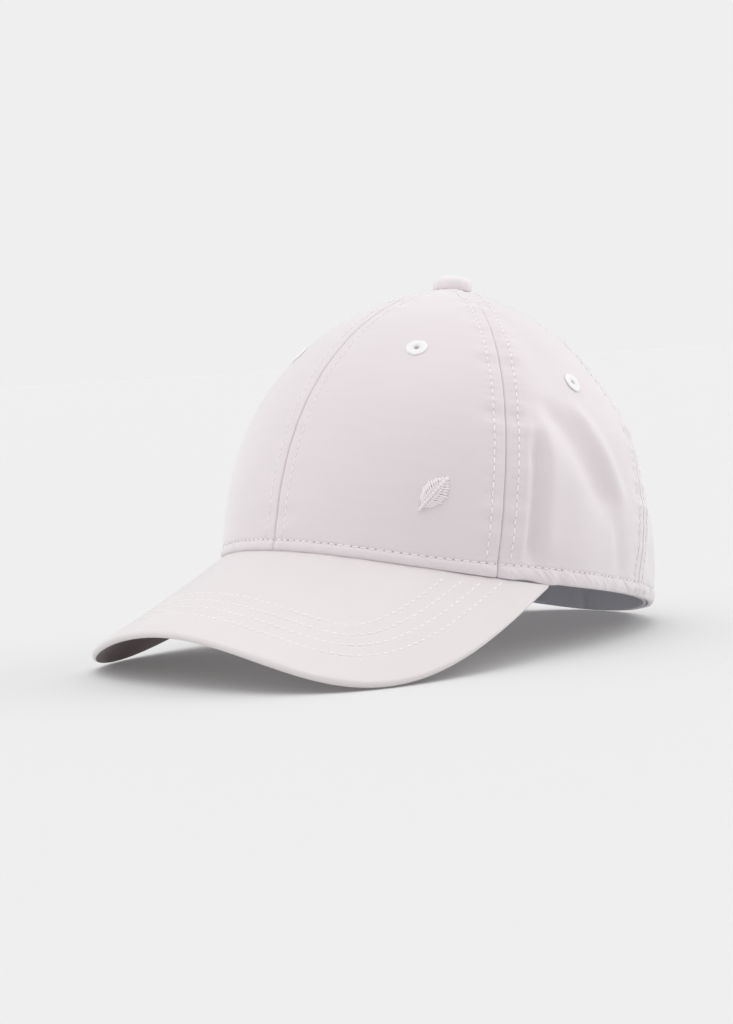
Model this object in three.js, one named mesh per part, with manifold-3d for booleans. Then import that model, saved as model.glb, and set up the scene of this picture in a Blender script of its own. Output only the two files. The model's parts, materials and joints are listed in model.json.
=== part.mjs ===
// A six-panel baseball cap with a curved brim and a ponytail slit at the back.
// Millimetres and degrees. x runs to the wearer's left, y to the back and z up from the hem.
// The cap is drawn upright and then tilted, so that it rests on its brim and its back hem.

import * as THREE from 'three';
import { mergeVertices } from 'three/addons/utils/BufferGeometryUtils.js';
import Module from 'manifold-3d';

const wasm = await Module();
wasm.setup();

// Crown
const hemHalfWidth = 81.7;
const hemHalfLength = 99.7;
const frontFlare = 0.195; // share by which the hem is wider in front than over the ears
const backTaper = 0.4; // how much of that flare is taken off again towards the back
const crownHeight = 121.9;
const buttonForward = 16.5; // how far the button sits ahead of the hem's middle
const crownCloth = 1.8;
const seamGap = 0.3;
const clearance = 0.3;
const frontSeamAround = 59.4;
const rearSeamAround = 114;

// Sweatband
const sweatbandHeight = 26;
const sweatbandCloth = 1.5;

// Brim
const brimReach = 51.4; // from the crown's front to the front edge
const brimFrontDrop = 38.8; // how far the front edge lies below the hem
const brimThickness = 3.2;
const brimArchRadius = 145;
const brimSideSlope = 0.264; // how fast the outer edge climbs from the front to the corner
const brimSideRadius = 185;
const brimCornerAround = 75.1;
const brimCornerSplay = 19.2; // sideways pull of the outline where it leaves the corner
const brimCornerRun = 74.8; // forward pull of the outline where it leaves the corner
const brimFrontBreadth = 90.3; // sideways pull of the outline at the front
const brimCornerWidth = 3.4;

// Button, eyelets and the small stitched leaf
const buttonRadius = 8.25;
const buttonHeight = 6.6;
const buttonFlatRadius = 4;
const crownTopHole = 3;
const eyeletRadius = 4.6;
const eyeletHole = 0.9;
const eyeletPost = 1.7;
const eyeletRelief = 0.9;
const leafLength = 16;
const leafWidth = 9;
const leafRelief = 1.1;
const leafLean = 35;

// Ponytail slit in the centre back seam, with its two bound edges
const slitHemDistance = 29; // from the back hem up to the foot of the slit
const slitLength = 57;
const slitHalfGap = 6.5;
const bindingWidth = 5;
const bindingCloth = 1.3;
const bindingTail = 10; // how far the bound edges run on and cross below the slit

// Meshing
const frontColumns = 10;
const sideColumns = 18;
const backColumns = 12;
const bandRows = 3;
const upperRows = 13;
const roundSides = 12;

// The exponents of the crown's curve across and up, and its bulge above the hem.
const crownProfile = {
  front: { across: 1.71, up: 2.16, bulge: 0.042 },
  side: { across: 1.98, up: 2.17, bulge: 0.079 },
  back: { across: 1.85, up: 1.69, bulge: -0.01 },
};

// The hem's height round the head, from front to back, as shares of the crown's height.
const hemRows = [
  { around: 0, height: -0.006 },
  { around: 57, height: -0.03 },
  { around: 120, height: -0.004 },
  { around: 180, height: -0.023 },
];

// Where the eyelets and the leaf are: degrees round the head and up the crown.
const eyeletSpots = {
  front: { around: 31, rise: 43.8 },
  side: { around: 87.4, rise: 40.8 },
  back: { around: 147, rise: 43 },
};
const leafSpot = { around: 42, rise: 12.2 };

// The soft side panels' folds. Across runs from the front seam to the rear seam and up from
// the hem to the button, as shares of the panel. Width and height are shares of the hem's
// half width, and a fold with a height below zero is a valley.
const sideFolds = [
  { across: 0.1, up: 0.34, toAcross: 0.11, toUp: 0.04, width: 0.035, height: 0.012 },
  { across: 0.155, up: 0.3, toAcross: 0.165, toUp: 0.03, width: 0.042, height: -0.034 },
  { across: 0.2, up: 0.35, toAcross: 0.23, toUp: 0.05, width: 0.05, height: 0.014 },
  { across: 0.24, up: 0.36, toAcross: 0.66, toUp: 0.15, width: 0.085, height: -0.032 },
  { across: 0.44, up: 0.38, toAcross: 0.75, toUp: 0.18, width: 0.05, height: 0.02 },
  { across: 0.7, up: 0.14, toAcross: 0.8, toUp: 0.02, width: 0.05, height: -0.012 },
];

const backFolds = [
  { across: 0.3, up: 0.3, toAcross: 0.12, toUp: 0.06, width: 0.1, height: -0.02 },
  { across: 0.78, up: 0.34, toAcross: 0.6, toUp: 0.1, width: 0.08, height: 0.02 },
];

const palette = {
  crown: new THREE.MeshStandardMaterial({ color: 0xd9cfd4, roughness: 0.55 }),
  brim: new THREE.MeshStandardMaterial({ color: 0xded3d6, roughness: 0.55 }),
  band: new THREE.MeshStandardMaterial({ color: 0x6a6c76, roughness: 0.85 }),
  thread: new THREE.MeshStandardMaterial({ color: 0xf4f1f2, roughness: 0.5 }),
};

const radians = THREE.MathUtils.degToRad;
const smooth = (t) => THREE.MathUtils.smoothstep(t, 0, 1);

// Profile values change smoothly from the front through the side to the back.
function profileAt(around, key) {
  const toFront = Math.cos(radians(around));
  const { front, side, back } = crownProfile;
  const end = toFront > 0 ? front : back;
  return side[key] + (end[key] - side[key]) * toFront ** 2;
}

function hemOutline(around) {
  const a = radians(around);
  const toFront = Math.cos(a);
  const flare = toFront > 0 ? toFront : backTaper * Math.tanh(toFront / backTaper);
  const x = hemHalfWidth * Math.sin(a) * (1 + frontFlare * flare);
  return new THREE.Vector2(x, -hemHalfLength * Math.cos(a));
}

function hemHeight(around) {
  const a = Math.abs(THREE.MathUtils.euclideanModulo(around + 180, 360) - 180);
  const next = Math.max(1, hemRows.findIndex((row) => row.around >= a));
  const low = hemRows[next - 1];
  const high = hemRows[next];
  const t = smooth((a - low.around) / (high.around - low.around));
  return crownHeight * (low.height + (high.height - low.height) * t);
}

// A point of the crown's outer skin, without its folds. Rise runs from 0 at the hem to 90.
function crownSkin(around, rise) {
  const t = radians(rise);
  const spread = Math.cos(t) ** (2 / profileAt(around, 'across'));
  const climb = Math.sin(t) ** (2 / profileAt(around, 'up'));
  const bulge = 1 + profileAt(around, 'bulge') * Math.sin(Math.min(t * 2.4, Math.PI));
  const hem = hemOutline(around).multiplyScalar(spread * bulge);
  return new THREE.Vector3(
    hem.x,
    hem.y - buttonForward * (1 - spread),
    hemHeight(around) * (1 - climb) + crownHeight * climb,
  );
}

function crownNormal(around, rise) {
  const step = 0.4;
  const at = THREE.MathUtils.clamp(rise, 2 * step, 90 - 2 * step);
  const ahead = crownSkin(around + step, at).sub(crownSkin(around - step, at));
  const above = crownSkin(around, at + step).sub(crownSkin(around, at - step));
  return ahead.cross(above).normalize();
}

// Millimetres along the skin for each degree round the crown, and for each degree of rise.
function strideAround(around, rise) {
  return crownSkin(around + 0.5, rise).distanceTo(crownSkin(around - 0.5, rise));
}

function strideUp(around, rise) {
  return crownSkin(around, rise + 0.5).distanceTo(crownSkin(around, rise - 0.5));
}

// The rise at a height above the hem.
function riseAtHeight(around, height) {
  const share = height / crownHeight;
  return THREE.MathUtils.radToDeg(Math.asin(share ** (profileAt(around, 'up') / 2)));
}

// The rise at a distance along the skin above the hem.
function riseAlongSkin(around, distance) {
  const step = 0.25;
  let rise = 0;
  let run = 0;
  let last = crownSkin(around, rise);
  while (run < distance && rise < 90 - step) {
    rise += step;
    const next = crownSkin(around, rise);
    run += next.distanceTo(last);
    last = next;
  }
  return rise;
}

function foldLift(folds, across, up) {
  const panelRun = rearSeamAround - frontSeamAround;
  const acrossLength = hemHalfWidth * radians(panelRun);
  const upLength = crownHeight * Math.PI / 2;
  let lift = 0;
  for (const fold of folds) {
    const start = new THREE.Vector2(fold.across * acrossLength, fold.up * upLength);
    const end = new THREE.Vector2(fold.toAcross * acrossLength, fold.toUp * upLength);
    const along = end.sub(start);
    const here = new THREE.Vector2(across * acrossLength, up * upLength).sub(start);
    const share = here.dot(along) / along.lengthSq();
    const aside = Math.abs(here.cross(along)) / along.length();
    const ends = smooth((share + 0.15) / 0.3) * smooth((1.15 - share) / 0.3);
    lift += fold.height * hemHalfWidth * ends * Math.exp(-((aside / (fold.width * hemHalfWidth)) ** 2));
  }
  const seamFade = smooth(across / 0.12) * smooth((1 - across) / 0.12);
  const hemFade = smooth(up / 0.06);
  return lift * seamFade * hemFade;
}

function crownFold(around, rise) {
  const a = Math.abs(around);
  const up = rise / 90;
  if (a < frontSeamAround) return 0;
  if (a < rearSeamAround) {
    return foldLift(sideFolds, (a - frontSeamAround) / (rearSeamAround - frontSeamAround), up);
  }
  return foldLift(backFolds, (a - rearSeamAround) / (180 - rearSeamAround), up);
}

// A point at a depth under the crown's folded skin, or above it where depth is negative.
function crownPoint(around, rise, depth) {
  const lift = crownFold(around, rise) - depth;
  return crownSkin(around, rise).addScaledVector(crownNormal(around, rise), lift);
}

// How much higher the brim lies under the wall than at the hem line, for each mm inward.
function seatSlope(around) {
  const share = Math.abs(around) / brimCornerAround;
  return share < 1 ? brimFrontDrop / brimReach * Math.cos(share * Math.PI / 2) : 0;
}

// A closed shell from two sheets of points. Each sheet has a row for each v and a column for
// each u, and the edges are joined by strips, except where a ring closes on itself.
function shell(us, vs, point, ring = false) {
  const positions = [];
  const index = [];
  const sheet = us.length * vs.length;
  for (const side of [0, 1]) {
    for (const v of vs) {
      for (const u of us) positions.push(...point(u, v, side).toArray());
    }
  }
  const id = (i, j, side) => side * sheet + j * us.length + (i % us.length);
  const quad = (a, b, c, d) => index.push(a, b, c, a, c, d);
  const spans = ring ? us.length : us.length - 1;
  const last = vs.length - 1;
  for (let i = 0; i < spans; i += 1) {
    for (let j = 0; j < last; j += 1) {
      quad(id(i, j, 0), id(i + 1, j, 0), id(i + 1, j + 1, 0), id(i, j + 1, 0));
      quad(id(i, j, 1), id(i, j + 1, 1), id(i + 1, j + 1, 1), id(i + 1, j, 1));
    }
    quad(id(i, 0, 1), id(i + 1, 0, 1), id(i + 1, 0, 0), id(i, 0, 0));
    quad(id(i, last, 0), id(i + 1, last, 0), id(i + 1, last, 1), id(i, last, 1));
  }
  if (!ring) {
    const end = us.length - 1;
    for (let j = 0; j < last; j += 1) {
      quad(id(0, j, 0), id(0, j + 1, 0), id(0, j + 1, 1), id(0, j, 1));
      quad(id(end, j, 1), id(end, j + 1, 1), id(end, j + 1, 0), id(end, j, 0));
    }
  }
  const geometry = new THREE.BufferGeometry();
  geometry.setAttribute('position', new THREE.Float32BufferAttribute(positions, 3));
  geometry.setIndex(index);
  return geometry;
}

function solidOf(geometry) {
  const bare = geometry.clone();
  bare.deleteAttribute('normal');
  bare.deleteAttribute('uv');
  const merged = mergeVertices(bare, 1e-4);
  return new wasm.Manifold(new wasm.Mesh({
    numProp: 3,
    vertProperties: new Float32Array(merged.attributes.position.array),
    triVerts: new Uint32Array(merged.index.array),
  }));
}

function geometryOf(solid) {
  const mesh = solid.getMesh();
  const geometry = new THREE.BufferGeometry();
  geometry.setAttribute('position', new THREE.Float32BufferAttribute(mesh.vertProperties, 3));
  geometry.setIndex([...mesh.triVerts]);
  return geometry;
}

function named(name, geometry, material) {
  const finished = geometry.index ? geometry.toNonIndexed() : geometry;
  finished.computeVertexNormals();
  const mesh = new THREE.Mesh(finished, material);
  mesh.name = name;
  return mesh;
}

function evenly(from, to, count) {
  return Array.from({ length: count + 1 }, (_, i) => from + (to - from) * i / count);
}

// The columns of one panel, from its front seam to its rear seam on the wearer's left.
const panelColumns = {
  front: evenly(0, frontSeamAround, frontColumns),
  side: evenly(frontSeamAround, rearSeamAround, sideColumns),
  back: evenly(rearSeamAround, 180, backColumns),
};

// Rows run from 0 at the hem to 1 at the sweatband's top and 2 at the hole under the button.
const crownRowList = [...evenly(0, 1, bandRows), ...evenly(1, 2, upperRows).slice(1)];

function riseAtRow(around, row) {
  const band = riseAtHeight(around, sweatbandHeight);
  if (row <= 1) return band * row;
  const share = (crownTopHole / hemHalfWidth) ** (profileAt(around, 'across') / 2);
  const top = THREE.MathUtils.radToDeg(Math.acos(share));
  return band + (top - band) * (row - 1);
}

const slitFootRise = riseAlongSkin(180, slitHemDistance);
const slitTopRise = riseAlongSkin(180, slitHemDistance + slitLength);

// Half the width of the slit, a lens that is widest a little below its middle.
function slitHalf(rise) {
  const t = (rise - slitFootRise) / (slitTopRise - slitFootRise);
  return t > 0 && t < 1 ? slitHalfGap * Math.sin(Math.PI * t ** 0.85) : 0;
}

// A panel's seam edges draw back from the seam by half the gap, and from the slit.
function panelAround(around, edges, rise) {
  const [from, to] = edges;
  const stride = strideAround(around, rise);
  const gap = seamGap / 2 / stride;
  const slit = to === 180 ? slitHalf(rise) / stride : 0;
  const share = (around - from) / (to - from);
  const start = from + gap;
  const end = to - gap - slit;
  return slit > 0 ? around - slit * smooth((share - 0.4) / 0.6) - gap * (2 * share - 1)
    : start + (end - start) * share;
}

// The wall's foot follows the brim's slope, so that the crown sits on the brim.
function wallFoot(point, around, rise, depth) {
  if (rise > 0) return point;
  const side = crownNormal(around, 0).setZ(0).normalize();
  const outer = crownSkin(around, 0);
  const foot = outer.clone().addScaledVector(side, -depth);
  foot.z = outer.z + seatSlope(around) * depth;
  return foot;
}

function crownPanel(kind, mirror) {
  const columns = panelColumns[kind];
  const edges = [columns[0], columns[columns.length - 1]];
  const us = mirror ? [...columns].reverse() : columns;
  const sheet = shell(us, crownRowList, (u, row, side) => {
    const rise = riseAtRow(u, row);
    const around = panelAround(u, edges, rise);
    const depth = side * crownCloth;
    const point = wallFoot(crownPoint(around, rise, depth), around, rise, depth);
    return mirror ? point.setX(-point.x) : point;
  });
  const hole = placedOnSkin(
    new THREE.CylinderGeometry(eyeletPost + clearance, eyeletPost + clearance, 8 * crownCloth, roundSides),
    eyeletSpots[kind], mirror,
  );
  return geometryOf(solidOf(sheet).subtract(solidOf(hole)));
}

// Stands a shape that is drawn round the y axis on the skin at an eyelet's place.
function placedOnSkin(geometry, { around, rise }, mirror) {
  const side = mirror ? -1 : 1;
  const point = crownPoint(around, rise, 0).multiply(new THREE.Vector3(side, 1, 1));
  const normal = crownNormal(around, rise).multiply(new THREE.Vector3(side, 1, 1));
  const turn = new THREE.Quaternion().setFromUnitVectors(new THREE.Vector3(0, 1, 0), normal);
  return geometry.applyQuaternion(turn).translate(point.x, point.y, point.z);
}

// An embroidered eyelet: a flat ring on the skin with a short post through the panel.
function eyelet(kind, mirror) {
  const profile = [
    [eyeletHole, -crownCloth],
    [eyeletPost, -crownCloth],
    [eyeletPost, clearance],
    [eyeletRadius, clearance],
    [eyeletRadius * 0.93, clearance + eyeletRelief * 0.6],
    [eyeletRadius * 0.7, clearance + eyeletRelief],
    [eyeletHole * 1.6, clearance + eyeletRelief],
    [eyeletHole, clearance + eyeletRelief * 0.7],
    [eyeletHole, -crownCloth],
  ];
  const points = profile.map(([r, h]) => new THREE.Vector2(r, h));
  return placedOnSkin(new THREE.LatheGeometry(points, roundSides), eyeletSpots[kind], mirror);
}

function allColumns() {
  const left = [...panelColumns.front, ...panelColumns.side.slice(1), ...panelColumns.back.slice(1)];
  const right = left.slice(1, -1).reverse().map((around) => -around);
  return [...left, ...right];
}

function sweatband() {
  const outer = crownCloth + clearance;
  return shell(allColumns(), evenly(0, 1, bandRows), (u, row, side) => {
    const a = Math.abs(u);
    const rise = riseAtRow(a, row);
    const depth = outer + side * sweatbandCloth;
    const point = crownPoint(a, rise, depth);
    if (u < 0) point.x = -point.x;
    return point;
  }, true);
}

// The brim's outer edge on the wearer's left. Share runs from 0 at the corner to 1 in front.
function brimEdge(share) {
  const corner = hemOutline(brimCornerAround);
  const front = hemHalfLength + brimReach;
  const outline = new THREE.CubicBezierCurve(
    new THREE.Vector2(corner.x, -corner.y),
    new THREE.Vector2(corner.x + brimCornerSplay, -corner.y + brimCornerRun),
    new THREE.Vector2(brimFrontBreadth, front),
    new THREE.Vector2(0, front),
  );
  const edgeHeight = (x, forward) => {
    const back = front - forward;
    const arch = x ** 2 / (2 * brimArchRadius);
    return -brimFrontDrop - arch + brimSideSlope * back + back ** 2 / (2 * brimSideRadius);
  };
  const plan = outline.getPoint(share);
  const miss = hemHeight(brimCornerAround) - edgeHeight(corner.x, -corner.y);
  return new THREE.Vector3(plan.x, -plan.y, edgeHeight(plan.x, plan.y) + miss * (1 - share) ** 6);
}

// A point of the brim's top. Out runs from 0 at the hem line to 1 at the outer edge.
function brimTop(around, out) {
  const hem = hemOutline(around);
  const inner = new THREE.Vector3(hem.x, hem.y, hemHeight(around));
  const top = inner.lerp(brimEdge(1 - around / brimCornerAround), out);
  return top.setZ(top.z - clearance);
}

function brimNormal(around, out) {
  const a = Math.min(around, brimCornerAround * 0.93);
  const step = 0.02;
  const outward = brimTop(a, out + step).sub(brimTop(a, out - step));
  const aside = brimTop(a + step * 10, out).sub(brimTop(a - step * 10, out));
  return outward.cross(aside).normalize();
}

function brim() {
  const blunt = brimCornerAround * (1 - brimCornerWidth / hemHalfLength * 0.3);
  const half = [...panelColumns.front, ...panelColumns.side.slice(1)].filter((a) => a < blunt - 1);
  half.push(blunt);
  const columns = [...half.slice(1).reverse(), ...half.map((a) => -a)];
  const rows = [-1, 0, 0.12, 0.3, 0.5, 0.7, 0.88, 1];
  return shell(columns, rows, (u, out, side) => {
    const a = Math.abs(u);
    const point = brimTop(a, Math.max(out, 0));
    if (out < 0) {
      const inward = crownNormal(a, 0).setZ(0).normalize();
      point.addScaledVector(inward, -crownCloth);
      point.z += seatSlope(a) * crownCloth;
    }
    const down = new THREE.Vector3(0, 0, 1).lerp(brimNormal(a, Math.max(out, 0)), smooth(out / 0.3));
    point.addScaledVector(down.normalize(), -side * brimThickness);
    return u < 0 ? point.setX(-point.x) : point;
  });
}

// The covered button. Its underside follows the crown and its top has a small flat.
function button() {
  const gapUnder = (radius) => {
    let highest = 0;
    for (let around = 0; around <= 180; around += 15) {
      let low = 60;
      let high = 89.9;
      for (let i = 0; i < 30; i += 1) {
        const middle = (low + high) / 2;
        const point = crownSkin(around, middle);
        if (Math.hypot(point.x, point.y + buttonForward) > radius) low = middle;
        else high = middle;
      }
      highest = Math.max(highest, crownSkin(around, low).z);
    }
    return highest - crownHeight + clearance;
  };
  const outline = [
    [0, clearance],
    [buttonRadius * 0.45, gapUnder(buttonRadius * 0.45)],
    [buttonRadius * 0.9, gapUnder(buttonRadius * 0.9)],
    [buttonRadius, buttonHeight * 0.2],
    [buttonRadius, buttonHeight * 0.5],
    [buttonRadius * 0.88, buttonHeight * 0.82],
    [buttonFlatRadius, buttonHeight],
    [0, buttonHeight],
  ];
  const points = outline.map(([r, h]) => new THREE.Vector2(r, h));
  return new THREE.LatheGeometry(points, roundSides * 2)
    .rotateX(Math.PI / 2)
    .translate(0, -buttonForward, crownHeight);
}

// A bound edge of the slit. It lies on the panel beside the slit and crosses its neighbour
// below it, where the left one passes on top.
function binding(mirror) {
  const steps = 18;
  const tail = bindingTail / slitLength;
  const lowest = clearance + (mirror ? 0 : bindingCloth + clearance);
  const runs = mirror ? evenly(-tail, 1.06, steps) : evenly(-tail, 1.06, steps).reverse();
  return shell([-1, 0, 1], runs, (edge, run, side) => {
    const rise = slitFootRise + (slitTopRise - slitFootRise) * run;
    const cross = run < 0 ? bindingWidth * run / tail : 0;
    const aside = slitHalf(rise) + bindingWidth / 2 + clearance / 2 + cross;
    const across = aside + edge * bindingWidth / 2;
    const lift = THREE.MathUtils.lerp(lowest, clearance, smooth((run - 0.06) / 0.3));
    const around = 180 - across / strideAround(180, rise);
    const height = lift + (1 - side) * bindingCloth;
    const signed = around > 180 ? 360 - around : around;
    const point = crownPoint(signed, rise, -height);
    if (around > 180) point.x = -point.x;
    return mirror ? point.setX(-point.x) : point;
  });
}

// A small raised leaf on the left front panel.
function leaf() {
  const perAround = strideAround(leafSpot.around, leafSpot.rise);
  const perRise = strideUp(leafSpot.around, leafSpot.rise);
  const lean = new THREE.Vector2();
  return shell(evenly(0.94, -0.94, 10), evenly(-1, 1, 6), (u, v, side) => {
    const half = leafWidth / 2 * (1 - u * u);
    lean.set(v * half, u * leafLength / 2).rotateAround(new THREE.Vector2(), radians(-leafLean));
    const around = leafSpot.around + lean.x / perAround;
    const rise = leafSpot.rise + lean.y / perRise;
    const dome = leafRelief * (0.35 + 0.65 * Math.sqrt(Math.max(0, 1 - v * v)) * (1 - u ** 4));
    return crownPoint(around, rise, -clearance - (1 - side) * dome);
  });
}

const cap = new THREE.Group();
const sides = [{ side: 'left', mirror: false }, { side: 'right', mirror: true }];
for (const { side, mirror } of sides) {
  for (const kind of ['front', 'side', 'back']) {
    cap.add(named(`panel_${kind}_${side}`, crownPanel(kind, mirror), palette.crown));
    cap.add(named(`eyelet_${kind}_${side}`, eyelet(kind, mirror), palette.thread));
  }
  cap.add(named(`slit_binding_${side}`, binding(mirror), palette.crown));
}
cap.add(named('sweatband', sweatband(), palette.band));
cap.add(named('brim', brim(), palette.brim));
cap.add(named('button', button(), palette.crown));
cap.add(named('front_leaf', leaf(), palette.crown));

// The tilt at which the brim and the back hem are equally low.
function restingTilt(group) {
  const points = [];
  for (const mesh of group.children) {
    const place = mesh.geometry.attributes.position;
    for (let i = 0; i < place.count; i += 1) {
      points.push(new THREE.Vector3().fromBufferAttribute(place, i));
    }
  }
  const lowest = (tilt, test) => points.filter(test).reduce(
    (low, p) => Math.min(low, p.z * Math.cos(tilt) - p.y * Math.sin(tilt)), Infinity,
  );
  let low = 0;
  let high = radians(40);
  for (let i = 0; i < 30; i += 1) {
    const middle = (low + high) / 2;
    if (lowest(middle, (p) => p.y < 0) < lowest(middle, (p) => p.y > 0)) low = middle;
    else high = middle;
  }
  return (low + high) / 2;
}

cap.rotation.x = -restingTilt(cap);
cap.updateMatrixWorld(true);
const reach = new THREE.Box3().setFromObject(cap, true);
const centre = reach.getCenter(new THREE.Vector3());
cap.position.set(-centre.x, -centre.y, -reach.min.z);

const model = new THREE.Group();
model.add(cap);
model.updateMatrixWorld(true);

export default model;
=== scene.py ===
"""A pale lilac baseball cap with a ponytail slit, lying on a white table."""
import json
import logging
import math
from contextlib import contextmanager
from dataclasses import dataclass, field
from enum import Enum
from typing import Callable, Iterable, Iterator, Sequence

import bmesh
import bpy
import numpy as np
from mathutils import Matrix, Vector


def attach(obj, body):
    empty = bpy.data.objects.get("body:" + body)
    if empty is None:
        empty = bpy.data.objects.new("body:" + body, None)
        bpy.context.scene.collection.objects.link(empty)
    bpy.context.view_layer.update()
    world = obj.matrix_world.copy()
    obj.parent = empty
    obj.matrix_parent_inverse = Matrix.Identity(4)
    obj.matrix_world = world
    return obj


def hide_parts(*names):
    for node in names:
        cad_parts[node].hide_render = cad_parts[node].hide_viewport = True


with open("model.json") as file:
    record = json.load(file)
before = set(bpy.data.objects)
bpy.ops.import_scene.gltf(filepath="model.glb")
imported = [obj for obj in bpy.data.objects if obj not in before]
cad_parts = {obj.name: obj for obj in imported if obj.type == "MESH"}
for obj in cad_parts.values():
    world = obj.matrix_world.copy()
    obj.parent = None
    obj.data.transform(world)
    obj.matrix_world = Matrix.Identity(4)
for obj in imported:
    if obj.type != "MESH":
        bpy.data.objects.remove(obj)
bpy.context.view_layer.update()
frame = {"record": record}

log = logging.getLogger("cap")
MM = 0.001
WELD = 2e-6
WAVE_SCALES = (0.62, 0.81, 1.0, 1.37, 1.9)
WAVE_SPREAD = 2.6
WHITE = (1.0, 1.0, 1.0, 1.0)
Points = np.ndarray
Drape = Callable[[Points, Points], tuple[Points, Points]]


class Side(Enum):
    """The wearer's left and right, as the sign of x."""

    LEFT = 1
    RIGHT = -1


class Panel(Enum):
    """The three kinds of crown panel, front to back."""

    FRONT = "front"
    SIDE = "side"
    BACK = "back"


def smooth(t: Points) -> Points:
    """Eases from 0 to 1 as t does, which is cut to 0 and 1."""
    t = np.clip(t, 0.0, 1.0)
    return t * t * (3.0 - 2.0 * t)


def bell(distance: Points, width: float) -> Points:
    """A soft bump that is 1 at distance 0 and fades over the width."""
    return np.exp(-((distance / width) ** 2))


def unit(vectors: Points) -> Points:
    """The same directions with a length of 1."""
    return vectors / np.linalg.norm(vectors, axis=-1, keepdims=True)


def run_along(line: Points) -> Points:
    """Distance along a line to each of its points."""
    steps = np.linalg.norm(np.diff(line, axis=0), axis=1)
    return np.concatenate([[0.0], np.cumsum(steps)])


def along_section(section: Points, share: Points) -> tuple[Points, ...]:
    """Reads a section's two measures on the way from its first corner to its last.

    Args:
        section: A row for each corner, with two measures.
        share: How far along, from 0 to 1.

    Returns:
        The first measure and the second one at each place.
    """
    spot = share * (len(section) - 1)
    return tuple(np.interp(spot, range(len(section)), measure) for measure in section.T)


def waves(along: Points, length: float, seed: int) -> Points:
    """A gently irregular wave, the same for the same seed.

    Args:
        along: Distance along the wave.
        length: Its mean wavelength, in the same unit.
        seed: Chooses the phases.

    Returns:
        Values that mostly lie between -1 and 1.
    """
    rng = np.random.default_rng(seed)
    total = np.zeros_like(along)
    for scale in WAVE_SCALES:
        phase = rng.uniform(0.0, 2.0 * np.pi)
        total += np.sin(2.0 * np.pi * along / (length * scale) + phase)
    return total / WAVE_SPREAD


@dataclass(frozen=True)
class Placement:
    """Takes the upright cap to where it rests.

    Attributes:
        tilt: Angle in radians by which the brim's end is raised.
        shift: What is added after the tilt, in metres.
    """

    tilt: float
    shift: Points

    @classmethod
    def from_mount(cls, mount: dict, top: Points) -> "Placement":
        """Finds the tilt and shift from the flat on the button.

        Args:
            mount: The record's mount on the button's flat.
            top: The same flat's middle on the upright cap.

        Returns:
            The placement.
        """
        axis = mount["axis"]
        tilt = math.atan2(axis[1], axis[2])
        turned = cls(tilt, np.zeros(3)).points(top[None, :])[0]
        return cls(tilt, np.array(mount["pos_m"]) - turned)

    def points(self, upright: Points) -> Points:
        """Moves points of the upright cap to the resting one.

        Args:
            upright: An array of points, one in a row.

        Returns:
            The placed points.
        """
        x, y, z = upright[..., 0], upright[..., 1], upright[..., 2]
        c, s = math.cos(self.tilt), math.sin(self.tilt)
        return np.stack([x, y * c + z * s, z * c - y * s], -1) + self.shift

    def directions(self, upright: Points) -> Points:
        """Turns directions of the upright cap as the resting one is turned."""
        return self.points(upright) - self.shift


@dataclass(frozen=True)
class Bump:
    """A soft ridge along a line on the cloth, or a dent where height is below zero, in metres."""

    height: float
    width: float

    def at(self, distance: Points) -> Points:
        """Its lift at a distance from its line."""
        return self.height * bell(distance, self.width)


@dataclass(frozen=True)
class Fold:
    """A ridge, or a valley where height is below zero, as shares of a panel."""

    across: float
    up: float
    to_across: float
    to_up: float
    width: float
    height: float


@dataclass(frozen=True)
class Seam:
    """A crown seam, in metres: its stitch rows, puckers and how far its rear side sinks."""

    around: float
    row_before: float
    row_after: float
    pucker: float
    sink: float = 0.0


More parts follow.
